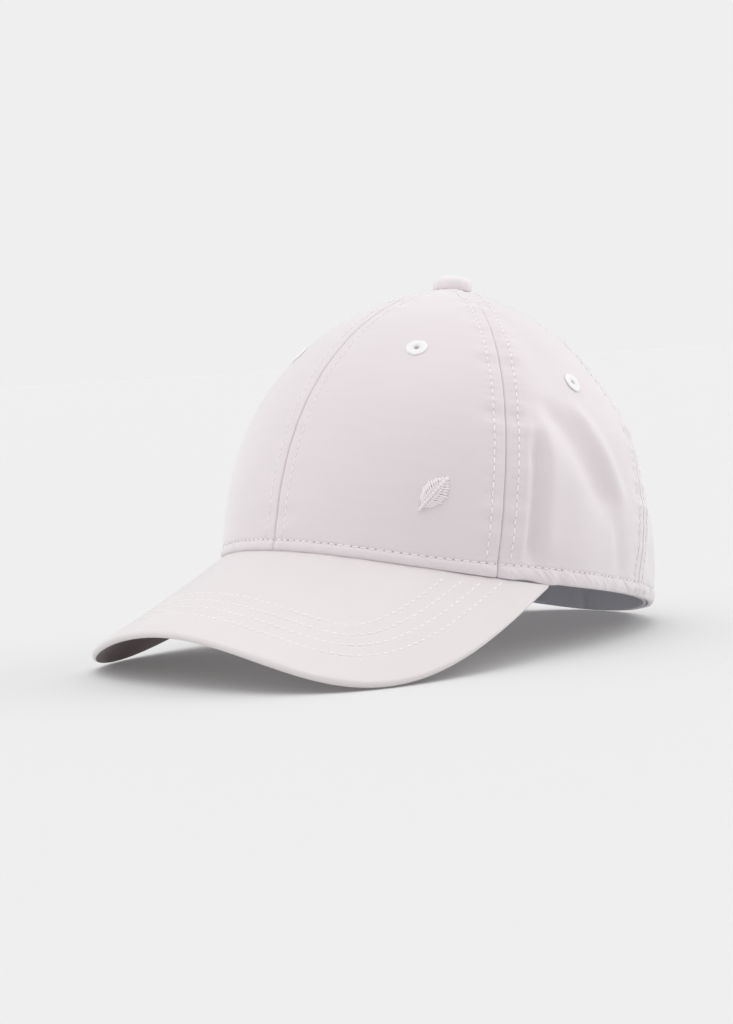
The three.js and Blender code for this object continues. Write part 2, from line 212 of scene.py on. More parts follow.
@dataclass(frozen=True)
class CapShape:
    """The crown's surface on the upright cap, in metres and degrees.

    A point is named by around, which runs from 0 in front to 180 at the back, and by rise,
    which runs from 0 at the hem to 90 at the button.
    Names that begin with fold are shares of the panel over which its folds fade. Groups of
    three numbers stand for the front, the side and the back: across and up say how round the
    skin is, and bulge how far it stands out.
    """

    hem_half_width: float = 0.0817
    hem_half_length: float = 0.0997
    front_flare: float = 0.195
    back_taper: float = 0.4
    crown_height: float = 0.1219
    button_forward: float = 0.0165
    front_seam: float = 59.4
    rear_seam: float = 114.0
    cloth: float = 0.0018
    stitch_pitch: float = 0.0034
    slit_hem_distance: float = 0.029
    slit_length: float = 0.057
    slit_half_gap: float = 0.0065
    slit_shift: float = 0.85
    across: tuple[float, float, float] = (1.71, 1.98, 1.85)
    up: tuple[float, float, float] = (2.16, 2.17, 1.69)
    bulge: tuple[float, float, float] = (0.042, 0.079, -0.01)
    bulge_reach: float = 2.4
    hem_around: tuple[float, ...] = (0.0, 57.0, 120.0, 180.0)
    hem_share: tuple[float, ...] = (-0.006, -0.03, -0.004, -0.023)
    side_folds: tuple[Fold, ...] = (
        Fold(0.1, 0.33, 0.11, 0.04, 0.035, 0.018),
        Fold(0.155, 0.265, 0.161, 0.03, 0.036, -0.04),
        Fold(0.2, 0.34, 0.225, 0.05, 0.075, 0.026),
        Fold(0.24, 0.36, 0.66, 0.15, 0.085, -0.032),
        Fold(0.44, 0.38, 0.75, 0.18, 0.05, 0.02),
        Fold(0.7, 0.14, 0.8, 0.02, 0.05, -0.012),
    )
    back_folds: tuple[Fold, ...] = (
        Fold(0.3, 0.3, 0.12, 0.06, 0.1, -0.02),
        Fold(0.78, 0.34, 0.6, 0.1, 0.08, 0.02),
    )
    fold_ends: float = 0.15
    fold_sides: float = 0.12
    fold_hem: float = 0.06
    seams: tuple[Seam, ...] = (
        Seam(0.0, 0.005, 0.005, 0.00006),
        Seam(59.4, 0.0051, 0.0053, 0.00014, 0.0009),
        Seam(114.0, 0.0048, 0.0052, 0.0002),
        Seam(180.0, 0.0045, 0.0045, 0.00012),
    )
    groove: Bump = Bump(-0.0013, 0.0003)
    allowance: float = 0.00014
    row_dent: Bump = Bump(-0.00022, 0.0006)
    pucker_width: float = 0.0022
    pucker_wave: float = 0.014
    pucker_seed: int = 11
    hem_row_front: float = 0.0043
    hem_row_more: float = 0.0017
    hem_puff_height: float = 0.0007
    hem_dent: Bump = Bump(-0.00034, 0.00055)
    hem_lean: float = 1.3
    hem_ripple: Bump = Bump(0.00016, 0.0024)
    hem_drift: Bump = Bump(0.0004, 0.003)
    slack_height: float = 0.00035

    def edges(self, panel: Panel) -> tuple[float, float]:
        """The seams that bound a panel.

        Args:
            panel: The kind of panel.

        Returns:
            Where its front and rear seams run.
        """
        stops = (0.0, self.front_seam, self.rear_seam, 180.0)
        start = list(Panel).index(panel)
        return stops[start], stops[start + 1]

    def profile(self, around: Points, values: tuple[float, float, float]) -> Points:
        """Blends a front, a side and a back value round the head.

        Args:
            around: Where, in degrees.
            values: The front, side and back values.

        Returns:
            The value at each place.
        """
        ahead = np.cos(np.radians(around))
        front, side, back = values
        end = np.where(ahead > 0, front, back)
        return side + (end - side) * ahead ** 2

    def hem_outline(self, around: Points) -> tuple[Points, Points]:
        """The hem's outline in plan.

        Args:
            around: Where, in degrees.

        Returns:
            Its x and y.
        """
        angle = np.radians(around)
        ahead = np.cos(angle)
        flare = np.where(ahead > 0, ahead, self.back_taper * np.tanh(ahead / self.back_taper))
        x = self.hem_half_width * np.sin(angle) * (1.0 + self.front_flare * flare)
        return x, -self.hem_half_length * ahead

    def hem_height(self, around: Points) -> Points:
        """The hem's height, with a smooth run from row to row of its table.

        Args:
            around: Where, in degrees.

        Returns:
            The height at each place.
        """
        turn = np.abs((np.asarray(around, float) + 180.0) % 360.0 - 180.0)
        height = np.zeros_like(turn)
        for i in range(len(self.hem_around) - 1):
            low, high = self.hem_around[i], self.hem_around[i + 1]
            here = (turn >= low) & (turn <= high)
            ease = smooth((turn - low) / (high - low))
            share = self.hem_share[i] + (self.hem_share[i + 1] - self.hem_share[i]) * ease
            height = np.where(here, share * self.crown_height, height)
        return height

    def skin(self, around: Points, rise: Points) -> Points:
        """The smooth outer skin, without folds or seams.

        Args:
            around: Where round the head.
            rise: How far up.

        Returns:
            A point for each place.
        """
        t = np.radians(np.clip(rise, 0.0, 90.0))
        spread = np.cos(t) ** (2.0 / self.profile(around, self.across))
        climb = np.sin(t) ** (2.0 / self.profile(around, self.up))
        bulge = 1.0 + self.profile(around, self.bulge) * np.sin(np.minimum(t * self.bulge_reach, np.pi))
        x, y = self.hem_outline(around)
        z = self.hem_height(around) * (1.0 - climb) + self.crown_height * climb
        y = y * spread * bulge - self.button_forward * (1.0 - spread)
        return np.stack([x * spread * bulge, y, z], -1)

    def normal(self, around: Points, rise: Points) -> Points:
        """The smooth skin's outward normal.

        Args:
            around: Where round the head.
            rise: How far up.

        Returns:
            A unit vector for each place.
        """
        step = 0.4
        at = np.clip(rise, 2 * step, 90.0 - 2 * step)
        ahead = self.skin(around + step, at) - self.skin(around - step, at)
        above = self.skin(around, at + step) - self.skin(around, at - step)
        return unit(np.cross(ahead, above))

    def stride(self, around: Points, rise: Points) -> Points:
        """Metres along the skin for each degree round the head."""
        return np.linalg.norm(self.skin(around + 0.5, rise) - self.skin(around - 0.5, rise), axis=-1)

    def stride_up(self, around: Points, rise: Points) -> Points:
        """Metres along the skin for each degree of rise.

        Args:
            around: Where round the head.
            rise: How far up.

        Returns:
            The length at each place.
        """
        low, high = np.maximum(rise - 0.5, 0.0), np.minimum(rise + 0.5, 90.0)
        run = np.linalg.norm(self.skin(around, high) - self.skin(around, low), axis=-1)
        return run / (high - low)

    def rise_at(self, around: Points, height: Points) -> Points:
        """The rise at a height above the hem.

        Args:
            around: Where round the head.
            height: Height in metres.

        Returns:
            The rise in degrees.
        """
        share = (height / self.crown_height) ** (self.profile(around, self.up) / 2.0)
        return np.degrees(np.arcsin(share))

    def climb_table(self, around: float) -> tuple[Points, Points]:
        """Rise against distance up the skin, along one line from the hem.

        Args:
            around: Where the line runs.

        Returns:
            The rises and their distances from the hem.
        """
        rise = np.linspace(0.0, 90.0, 721)
        line = self.skin(np.full_like(rise, around), rise)
        return rise, run_along(line)

    def slit_rises(self) -> tuple[float, float]:
        """The rises of the slit's foot and top.

        Returns:
            The two rises in degrees.
        """
        rise, run = self.climb_table(180.0)
        ends = [self.slit_hem_distance, self.slit_hem_distance + self.slit_length]
        foot, top = np.interp(ends, run, rise)
        return float(foot), float(top)

    def slit_half(self, rise: Points) -> Points:
        """Half the width of the slit.

        Args:
            rise: How far up, in degrees.

        Returns:
            The half width there.
        """
        foot, top = self.slit_rises()
        t = np.clip((rise - foot) / (top - foot), 0.0, 1.0)
        return self.slit_half_gap * np.sin(np.pi * t ** self.slit_shift)

    def fold_lift(self, folds: Iterable[Fold], across: Points, up: Points) -> Points:
        """The height that folds add to a panel.

        Args:
            folds: The panel's folds.
            across: Share of the way from its front seam to its rear seam.
            up: Share of the way from the hem to the button.

        Returns:
            The lift in metres.
        """
        run = self.hem_half_width * math.radians(self.rear_seam - self.front_seam)
        climb = self.crown_height * math.pi / 2.0
        fade = self.fold_ends
        lift = np.zeros_like(across)
        for fold in folds:
            start = np.array([fold.across * run, fold.up * climb])
            along = np.array([fold.to_across * run, fold.to_up * climb]) - start
            dx, dy = across * run - start[0], up * climb - start[1]
            share = (dx * along[0] + dy * along[1]) / along.dot(along)
            aside = (dx * along[1] - dy * along[0]) / math.hypot(*along)
            ends = smooth((share + fade) / (2.0 * fade)) * smooth((1.0 + fade - share) / (2.0 * fade))
            width = fold.width * self.hem_half_width
            lift += fold.height * self.hem_half_width * ends * bell(aside, width)
        sides = smooth(across / self.fold_sides) * smooth((1.0 - across) / self.fold_sides)
        return lift * sides * smooth(up / self.fold_hem)

    def folds(self, around: Points, rise: Points) -> Points:
        """The lift of the folds anywhere on the crown.

        Args:
            around: Where round the head.
            rise: How far up.

        Returns:
            The lift in metres.
        """
        a = np.abs(around)
        lifts = []
        for panel, folds in ((Panel.SIDE, self.side_folds), (Panel.BACK, self.back_folds)):
            low, high = self.edges(panel)
            lifts.append(self.fold_lift(folds, (a - low) / (high - low), rise / 90.0))
        return np.where(a < self.front_seam, 0.0, np.where(a < self.rear_seam, *lifts))

    def seam_relief(self, around: Points, rise: Points) -> Points:
        """The groove, raised allowance, sunk stitches and puckers beside the seams.

        Args:
            around: Where round the head.
            rise: How far up.

        Returns:
            The lift in metres.
        """
        a = np.abs(around)
        stride = self.stride(a, rise)
        lift = np.zeros_like(a)
        for number, seam in enumerate(self.seams):
            offset = (a - seam.around) * stride
            row = np.where(offset > 0, seam.row_after, seam.row_before)
            d = np.abs(offset)
            rises, run = self.climb_table(seam.around)
            along = np.interp(rise, rises, run)
            sunk = np.where(offset > 0, seam.sink * (1.0 - smooth(d / (1.3 * row))), 0.0)
            turned = smooth(d / 0.0016) * (1.0 - smooth((d - row) / 0.0018))
            lift += self.groove.at(d) - sunk
            lift += self.allowance * turned + self.row_dent.at(d - row)
            beat = np.cos(2.0 * np.pi * along / self.stitch_pitch)
            lift += seam.pucker * beat * bell(d - row, self.pucker_width)
            uneven = waves(along, self.pucker_wave, self.pucker_seed + number)
            lift += 2.5 * seam.pucker * uneven * bell(d - row, 0.005)
        return lift * smooth((88.0 - rise) / 10.0)

    def hem_row(self, around: Points) -> Points:
        """Height of the hem's stitch row over its edge, less in front than at the sides."""
        return self.hem_row_front + self.hem_row_more * smooth((np.abs(around) - 35.0) / 45.0)

    def hem_puff(self, around: Points, up: Points, run: Points) -> Points:
        """The puffy turned hem, sunk at its stitches and drawn into slanted ripples.

        Args:
            around: Where round the head.
            up: Height over the hem's edge.
            run: Distance along the hem.

        Returns:
            The lift in metres.
        """
        row = self.hem_row(around)
        share = np.clip(up / row, 0.0, 1.0)
        lift = self.hem_puff_height * np.sin(np.pi * share ** 0.85) + self.hem_dent.at(up - row)
        free = 0.35 + 0.65 * smooth((np.abs(around) - 50.0) / 25.0)
        lean = run + np.sign(around) * self.hem_lean * up
        ripple = waves(lean, 0.0042, 29) * self.hem_ripple.at(up - 0.7 * row)
        drift = waves(run, 0.012, 23) * self.hem_drift.at(up - 0.4 * row)
        return lift + free * (ripple + drift)

    def relief(self, around: Points, rise: Points) -> Points:
        """Everything that lifts the cloth off the smooth skin."""
        return self.folds(around, rise) + self.seam_relief(around, rise) + self.slack(around, rise)

    def slack(self, around: Points, rise: Points) -> Points:
        """Slight unevenness of the unlined side and back panels.

        Args:
            around: Where round the head.
            rise: How far up.

        Returns:
            The lift in metres.
        """
        a = np.abs(around)
        soft = smooth((a - self.front_seam) / 8.0) * smooth((80.0 - rise) / 20.0)
        x = np.radians(around) * self.hem_half_width
        y = rise / 90.0 * self.crown_height * math.pi / 2.0
        grain = waves(x + 0.35 * y, 0.045, 5) + waves(y - 0.5 * x, 0.06, 6)
        return self.slack_height * soft * grain

    def point(self, around: Points, rise: Points, height: Points = 0.0) -> Points:
        """A point on the finished cloth.

        Args:
            around: Where round the head.
            rise: How far up.
            height: How far above the cloth.

        Returns:
            A point for each place.
        """
        lift = self.relief(around, rise) + height
        return self.skin(around, rise) + self.normal(around, rise) * lift[..., None]


@contextmanager
def edited(mesh: bpy.types.Mesh) -> Iterator[bmesh.types.BMesh]:
    """Opens a mesh for work with bmesh and writes the result back to it.

    Args:
        mesh: The mesh.

    Yields:
        What it holds.
    """
    bm = bmesh.new()
    bm.from_mesh(mesh)
    yield bm
    bm.to_mesh(mesh)
    bm.free()


def vertices(mesh: bpy.types.Mesh) -> Points:
    """A mesh's vertices, one in a row.

    Args:
        mesh: The mesh.

    Returns:
        Their places.
    """
    flat = np.empty(len(mesh.vertices) * 3)
    mesh.vertices.foreach_get("co", flat)
    return flat.reshape(-1, 3)


def lay(mesh: bpy.types.Mesh, points: Points, pattern: Points) -> bpy.types.Object:
    """Lays a mesh on a surface and remembers where each vertex is on the flat cloth.

    Args:
        mesh: The mesh.
        points: Where its vertices go.
        pattern: Their positions in the cloth's pattern.

    Returns:
        A new object of the mesh's name.
    """
    mesh.vertices.foreach_set("co", np.ascontiguousarray(points).ravel())
    cloth = mesh.attributes.new("cloth", "FLOAT_VECTOR", "POINT")
    cloth.data.foreach_set("vector", np.ascontiguousarray(pattern).ravel())
    mesh.update()
    return bpy.data.objects.new(mesh.name, mesh)


def grid_mesh(name: str, columns: int, rows: int, drape: Drape) -> bpy.types.Object:
    """Makes a grid and lays it on a surface.

    Args:
        name: The object's name.
        columns: Faces along u.
        rows: Faces along v.
        drape: Takes u and v, each from 0 to 1, to points and to positions in the pattern.

    Returns:
        The new object.
    """
    mesh = bpy.data.meshes.new(name)
    with edited(mesh) as bm:
        bmesh.ops.create_grid(bm, x_segments=columns, y_segments=rows, size=0.5)
    flat = vertices(mesh) + 0.5
    return lay(mesh, *drape(flat[:, 0], flat[:, 1]))


def close_mesh(piece: bpy.types.Object, fill: bool = True) -> None:
    """Joins the grid's meeting edges, fills its ends and turns its faces outwards.

    Args:
        piece: The object to close.
        fill: Whether open ends are filled.
    """
    with edited(piece.data) as bm:
        bmesh.ops.remove_doubles(bm, verts=bm.verts, dist=WELD)
        if fill:
            rim = [edge for edge in bm.edges if edge.is_boundary]
            bmesh.ops.holes_fill(bm, edges=rim, sides=0)
        bmesh.ops.recalc_face_normals(bm, faces=bm.faces)
    piece.data.update()


class Wiring:
    """Short ways to add and join the nodes of a material."""

    def __init__(self, name: str, values: dict[str, object]) -> None:
        """Starts a material from the plain shader.

        Args:
            name: The material's name.
            values: What the shader's sockets are set to.
        """
        self.material = bpy.data.materials.new(name)
        self.material.use_nodes = True
        self.shader = self.material.node_tree.nodes["Principled BSDF"]
        self.set(self.shader, values)

    def set(self, node: bpy.types.Node, values: dict[str, object]) -> None:
        """Sets some of a node's sockets."""
        for socket, value in values.items():
            node.inputs[socket].default_value = value

    def add(self, kind: str, values: dict[str, object] | None = None) -> bpy.types.Node:
        """Adds a node.

        Args:
            kind: Its type, without the usual beginning.
            values: What its sockets are set to.

        Returns:
            The new node.
        """
        node = self.material.node_tree.nodes.new("ShaderNode" + kind)
        self.set(node, values or {})
        return node

    def join(self, start: bpy.types.NodeSocket, end: bpy.types.NodeSocket) -> None:
        """Joins an output to an input."""
        self.material.node_tree.links.new(start, end)

    def noise(self, place: bpy.types.NodeSocket, scale: float, detail: float) -> bpy.types.NodeSocket:
        """Adds a cloudy pattern.

        Args:
            place: The position that it depends on.
            scale: How many clouds there are in a metre.
            detail: How finely they are broken up.

        Returns:
            Its strength.
        """
        noise = self.add("TexNoise", {"Scale": scale, "Detail": detail})
        self.join(place, noise.inputs["Vector"])
        return noise.outputs["Fac"]

    def tint(self, noise: bpy.types.NodeSocket, colour: Sequence[float], low: float, high: float) -> None:
        """Colours the shader, darker and lighter from place to place.

        Args:
            noise: The pattern that it follows.
            colour: Linear red, green and blue.
            low: What the colour is multiplied by where it is darkest.
            high: The same where it is lightest.
        """
        shade = self.add("MapRange", {"To Min": low, "To Max": high})
        self.join(noise, shade.inputs["Value"])
        tint = self.add("VectorMath")
        tint.operation = "SCALE"
        tint.inputs[0].default_value = colour
        self.join(shade.outputs["Result"], tint.inputs["Scale"])
        self.join(tint.outputs["Vector"], self.shader.inputs["Base Color"])

    def bump(self, height: bpy.types.NodeSocket, strength: float) -> None:
        """Roughens the surface by a tenth of a millimetre at most.

        Args:
            height: The pattern's height.
            strength: How strongly it shows, from 0 to 1.
        """
        bump = self.add("Bump", {"Strength": strength, "Distance": 0.1 * MM})
        self.join(height, bump.inputs["Height"])
        self.join(bump.outputs["Normal"], self.shader.inputs["Normal"])


@dataclass(frozen=True)
class Cloth:
    """A smooth woven cloth with a satin face.

    Attributes:
        name: The material's name.
        colour: Linear red, green and blue.
        roughness: How matt the face is.
        sheen: How much soft light it returns at a slant.
        thread: Width of one thread of the weave, in metres.
        relief: How deep the weave is pressed, from 0 to 1.
        mottle: How much lighter and darker it gets from place to place.
        weft: How much coarser the weave is in its second direction.
    """

    name: str
    colour: tuple[float, float, float]
    roughness: float = 0.5
    sheen: float = 0.3
    thread: float = 0.00022
    relief: float = 0.12
    mottle: float = 0.02
    weft: float = 1.6

    def build(self) -> bpy.types.Material:
        """Makes the material.

        Returns:
            The new material.
        """
        wiring = Wiring(self.name, {
            "Roughness": self.roughness, "Specular IOR Level": 0.35,
            "Sheen Weight": self.sheen, "Sheen Roughness": 0.45,
        })
        place = wiring.add("Attribute")
        place.attribute_name = "cloth"
        noise = wiring.noise(place.outputs["Vector"], 45.0, 4.0)
        wiring.tint(noise, self.colour, 1.0 - self.mottle, 1.0 + self.mottle)
        both = wiring.add("Math")
        both.operation = "MULTIPLY"
        for number, (direction, coarser) in enumerate((("X", 1.0), ("Y", self.weft))):
            scale = 0.314 / self.thread / coarser
            wave = wiring.add("TexWave", {"Scale": scale, "Distortion": 0.4, "Detail": 0.0})
            wave.bands_direction = direction
            wiring.join(place.outputs["Vector"], wave.inputs["Vector"])
            wiring.join(wave.outputs["Fac"], both.inputs[number])
        wiring.bump(both.outputs["Value"], self.relief)
        return wiring.material


@dataclass(frozen=True)
class Thread:
    """Sewing or embroidery thread.

    Attributes:
        name: The material's name.
        colour: Linear red, green and blue.
        roughness: How matt it is.
        painted_glow: Painted light: a white glow that the thread gives off by itself, so that it looks
            brighter than the lamps make it.
    """

    name: str
    colour: tuple[float, float, float]
    roughness: float = 0.45
    painted_glow: float = 0.0

    def build(self) -> bpy.types.Material:
        """Makes the material, with a fine twist along the thread.

        Returns:
            The new material.
        """
        # The emission is painted light: a white glow that brightens the thread without a lamp.
        wiring = Wiring(self.name, {
            "Roughness": self.roughness, "Sheen Weight": 0.2,
            "Emission Color": WHITE, "Emission Strength": self.painted_glow,
        })
        place = wiring.add("TexCoord")
        noise = wiring.noise(place.outputs["Object"], 2500.0, 2.0)
        wiring.tint(noise, self.colour, 0.93, 1.05)
        wiring.bump(noise, 0.2)
        return wiring.material


@dataclass
class Workshop:
    """What every sub-assembly shares: the crown's shape, its place and the finishes."""

    shape: CapShape
    place: Placement
    finishes: dict[str, bpy.types.Material]

    def normals(self, around: Points, rise: Points) -> Points:
        """The smooth skin's outward normals on the resting cap."""
        return self.place.directions(self.shape.normal(around, rise))

    def dress(self, mesh: bpy.types.Mesh, *finishes: str) -> None:
        """Gives a mesh more than one material."""
        for finish in finishes:
            mesh.materials.append(self.finishes[finish])

    def finish(self, piece: bpy.types.Object, nodes: Sequence[str], slot: str, finish: str) -> None:
        """Dresses a piece, adds it to the scene under the root and hides the nodes of the part that it
        stands for.

        Args:
            piece: The finished piece.
            nodes: The nodes of the part that it stands for.
            slot: Not used.
            finish: The name of its material, unless it has some already.
        """
        if not piece.data.materials:
            self.dress(piece.data, finish)
        piece.data.shade_smooth()
        bpy.context.scene.collection.objects.link(piece)
        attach(piece, "root")
        if nodes:
            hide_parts(*nodes)
        log.info("%s: %d faces", piece.name, len(piece.data.polygons))

    def thicken(self, piece: bpy.types.Object, thickness: float) -> None:
        """Gives a sheet its wall, inwards from the face.

        Args:
            piece: The sheet.
            thickness: The wall in metres.
        """
        with edited(piece.data) as bm:
            for edge in bm.edges:
                edge.smooth = not edge.is_boundary
        wall = piece.modifiers.new("wall", "SOLIDIFY")
        wall.thickness = thickness
        wall.offset = -1.0


@dataclass
class Stitches:
    """Many small thread stitches, joined into one mesh.

    Attributes:
        name: The piece's name.
        finish: The thread's material.
        hole_finish: The needle holes' material, a dark colour: painted shade in the holes.
        places: A matrix for each stitch.
        holes: A matrix for each needle hole.
        batch: How many are made before they are joined, which saves time.
    """

    name: str
    finish: str
    hole_finish: str = "painted_shade_needle_hole"
    places: list[Matrix] = field(default_factory=list)
    holes: list[Matrix] = field(default_factory=list)
    batch: int = 60

    def add(self, start: Points, end: Points, normal: Points, radius: float, flat: float = 0.8) -> None:
        """Adds one stitch between two points on the cloth.

        Args:
            start: Its first end.
            end: Its second end.
            normal: The cloth's normal there.
            radius: The thread's radius.
            flat: The stitch's height as a share of its width.
        """
        a, b = Vector(start), Vector(end)
        along = b - a
        out = Vector(normal).normalized()
        side = out.cross(along).normalized()
        out = along.cross(side).normalized()
        turn = Matrix((side * radius, out * radius * flat, along / 2.0)).transposed().to_4x4()
        self.places.append(Matrix.Translation((a + b) / 2.0) @ turn)

    def chain(self, points: Sequence[Points], normal: Points, radius: float, overlap: float) -> None:
        """Adds round stitches from point to point.

        Args:
            points: Where they begin and end.
            normal: The cloth's normal there.
            radius: The thread's radius.
            overlap: How far each runs on at both ends, as a share of its length.
        """
        for p, q in zip(points[:-1], points[1:]):
            reach = (q - p) * overlap
            self.add(p - reach, q + reach, normal, radius, 1.0)

    def hole(self, at: Points, normal: Points, radius: float, depth: float = 0.35) -> None:
        """Adds a needle hole: a small flattened lump in a dark colour, painted shade for the hole.

        Args:
            at: Its middle.
            normal: The cloth's normal there.
            radius: Its radius.
            depth: Its depth as a share of the radius.
        """
        turn = Vector((0.0, 0.0, 1.0)).rotation_difference(Vector(normal)).to_matrix().to_4x4()
        size = Matrix.Diagonal((radius, radius, radius * depth, 1.0))
        self.holes.append(Matrix.Translation(Vector(at)) @ turn @ size)

    def row(self, line: Points, normals: Points, pitch: float, radius: float, holes: bool = False) -> None:
        """Sews along a line.

        Args:
            line: Points along the cloth.
            normals: The cloth's normals there.
            pitch: Length of a stitch with its gap.
            radius: The thread's radius.
            holes: Whether the needle holes, dark lumps of painted shade, are added.
        """
        run = run_along(line)

        def at(distance: float, values: Points) -> Points:
            """Reads the line or its normals at a distance."""
            return np.array([np.interp(distance, run, values[:, i]) for i in range(3)])

        for start in np.arange(0.2 * pitch, run[-1] - pitch, pitch):
            out = at(start + 0.5 * pitch, normals)
            lift = out * radius * 0.3
            ends = [at(start + share * pitch, line) + lift for share in (0.12, 0.88)]
            self.add(*ends, out, radius)
            if holes:
                self.hole(at(start, line), out, radius * 0.8)

    def build(self, shop: Workshop, slot: str, nodes: Sequence[str] = ()) -> bpy.types.Object:
        """Makes the joined mesh.

        Args:
            shop: The shared shape, place and finishes.
            slot: The record's material slot.
            nodes: The nodes that it stands for.

        Returns:
            The new piece.
        """
        mesh = bpy.data.meshes.new(self.name)
        joined = bmesh.new()
        for kind, places in enumerate((self.places, self.holes)):
            for first in range(0, len(places), self.batch):
                batch = bmesh.new()
                for matrix in places[first:first + self.batch]:
                    bmesh.ops.create_uvsphere(
                        batch, u_segments=6, v_segments=5 - kind, radius=1.0, matrix=matrix)
                for face in batch.faces:
                    face.material_index = kind
                batch.to_mesh(mesh)
                batch.free()
                joined.from_mesh(mesh)
        bmesh.ops.recalc_face_normals(joined, faces=joined.faces)
        joined.to_mesh(mesh)
        joined.free()
        shop.dress(mesh, self.finish, self.hole_finish)
        piece = bpy.data.objects.new(self.name, mesh)
        shop.finish(piece, nodes, slot, self.finish)
        return piece


@dataclass
class Crown:
    """The six cloth panels, the rolled hem and their stitching.

    Attributes:
        shop: The shared shape, place and finishes.
        eyelets: How far round and up each panel's eyelet is.
        columns: Faces across a panel.
        rows: Faces up a panel.
        crowding: How closely the columns stand beside the seams, from 0 to 1.
        hem_ring: Height of the ring that the turned hem is made in.
        hem_columns: Faces round the hem.
        hem_wave: Height of the wave in the hem's edge beside the brim's corners.
        top_hole: Radius at which the panels end under the button.
        eyelet_hole: Radius of the punched hole.
        seam_thread: Radius of the thread beside the seams.
        hem_thread: Radius of the hem's thread.
        hem_sink: How far the hem's stitches are drawn into the cloth.
    """

    shop: Workshop
    eyelets: dict[Panel, tuple[float, float]]
    columns: int = 96
    rows: int = 190
    crowding: float = 0.78
    hem_ring: float = 0.0078
    hem_columns: int = 1440
    hem_wave: float = 0.0005
    top_hole: float = 0.003
    eyelet_hole: float = 0.0016
    seam_thread: float = 0.00032
    hem_thread: float = 0.00034
    hem_sink: float = 0.0002

    def top_rise(self, around: Points) -> Points:
        """Where a panel ends under the button.

        Args:
            around: Where round the head.

        Returns:
            The rise in degrees.
        """
        shape = self.shop.shape
        share = (self.top_hole / shape.hem_half_width) ** (shape.profile(around, shape.across) / 2.0)
        return np.degrees(np.arccos(share))

    def panel(self, kind: Panel, side: Side) -> None:
        """Makes one panel.

        Args:
            kind: Which of the three.
            side: The wearer's left or right.
        """
        shape, place = self.shop.shape, self.shop.place
        low, high = shape.edges(kind)

        def drape(u: Points, v: Points) -> tuple[Points, Points]:
            """Lays the grid on the crown between two seams.

            Args:
                u: Share of the way from seam to seam.
                v: Share of the way from the hem's ring to the button.

            Returns:
                The points and their positions in the pattern.
            """
            u = u if side is Side.LEFT else 1.0 - u
            share = u - self.crowding * np.sin(2.0 * np.pi * u) / (2.0 * np.pi)
            around = low + (high - low) * share
            foot = shape.rise_at(around, self.hem_ring)
            rise = foot + (self.top_rise(around) - foot) * v
            if kind is Panel.BACK:
                slit = shape.slit_half(rise) / shape.stride(around, rise)
                around = around - slit * smooth((share - 0.4) / 0.6)
            pattern = np.stack([around * shape.stride(around, rise), rise * 0.0019, v], -1)
            return place.points(shape.point(around * side.value, rise)), pattern

        piece = grid_mesh(f"{kind.value}_cloth_{side.name.lower()}", self.columns, self.rows, drape)
        self.punch(piece, kind, side)
        self.shop.thicken(piece, shape.cloth)
        node = f"panel_{kind.value}_{side.name.lower()}"
        self.shop.finish(piece, [node], "crown_fabric", "crown_cloth")

    def punch(self, piece: bpy.types.Object, kind: Panel, side: Side) -> None:
        """Cuts the eyelet's hole.

        Args:
            piece: The panel.
            kind: Which of the three.
            side: The wearer's left or right.
        """
        around, rise = self.eyelets[kind]
        at = np.array([around * side.value]), np.array([rise])
        centre = Vector(self.shop.place.points(self.shop.shape.point(*at))[0])
        with edited(piece.data) as bm:
            inside = [v for v in bm.verts if (v.co - centre).length < self.eyelet_hole]
            bmesh.ops.delete(bm, geom=inside, context="VERTS")

    def rolled_hem(self) -> None:
        """Makes the puffy turned hem, with its ripples from the stitches."""
        shape, place = self.shop.shape, self.shop.place
        tall = self.hem_ring / MM
        face = [(tall - 0.04, 0.0)] + [(up, 0.0) for up in np.arange(tall - 0.35, 0.7, -0.42)]
        turned = [(0.4, -0.1), (0.18, -0.3), (0.05, -0.6), (0.0, -0.9), (0.06, -1.25), (0.25, -1.6)]
        back = [(0.6, -1.8), (0.4 * tall, -1.8), (tall + 0.5, -1.8)]
        top = [(tall + 0.5, -0.5), (tall, -0.05)]
        section = np.array(top + face + turned + back + top[:1]) * MM

        def drape(u: Points, v: Points) -> tuple[Points, Points]:
            """Sweeps the section round the hem.

            Args:
                u: Share of the way round.
                v: Share of the section's corners.

            Returns:
                The points and their positions in the pattern.
            """
            around = 360.0 * u - 180.0
            up, out = along_section(section, v)
            run = self.hem_run(around)
            rise = shape.rise_at(around, np.maximum(up, 0.00005))
            outer = smooth((out + 0.0012) / 0.001)
            lift = out + outer * shape.hem_puff(around, up, run) + shape.relief(around, rise)
            points = shape.skin(around, rise) + shape.normal(around, rise) * lift[..., None]
            wave = np.sin(np.pi * np.clip((np.abs(around) - 71.0) / 7.0, -1, 1))
            points[..., 2] -= self.hem_wave * wave * (1.0 - smooth(up / 0.006))
            return place.points(points), np.stack([run, up, out], -1)

        piece = grid_mesh("rolled_hem", self.hem_columns, len(section) - 1, drape)
        close_mesh(piece, fill=False)
        self.shop.finish(piece, [], "crown_fabric", "crown_cloth")

    def hem_run(self, around: Points) -> Points:
        """Distance along the hem from the front.

        Args:
            around: Where round the head.

        Returns:
            The distance in metres, below zero on the right.
        """
        stops = np.linspace(-180.0, 180.0, self.hem_columns + 1)
        x, y = self.shop.shape.hem_outline(stops)
        run = np.concatenate([[0.0], np.cumsum(np.hypot(np.diff(x), np.diff(y)))])
        return np.interp(around, stops, run) - run[-1] / 2.0

    def seam_rows(self) -> Iterator[tuple[Seam, float, Side]]:
        """Every row of stitches beside a seam.

        Yields:
            The seam, how far behind it the row is, and the wearer's side.
        """
        for seam in self.shop.shape.seams:
            for offset in (-seam.row_before, seam.row_after):
                if seam.around == 0.0 and offset < 0.0 or seam.around == 180.0 and offset > 0.0:
                    continue
                for side in Side:
                    yield seam, offset, side

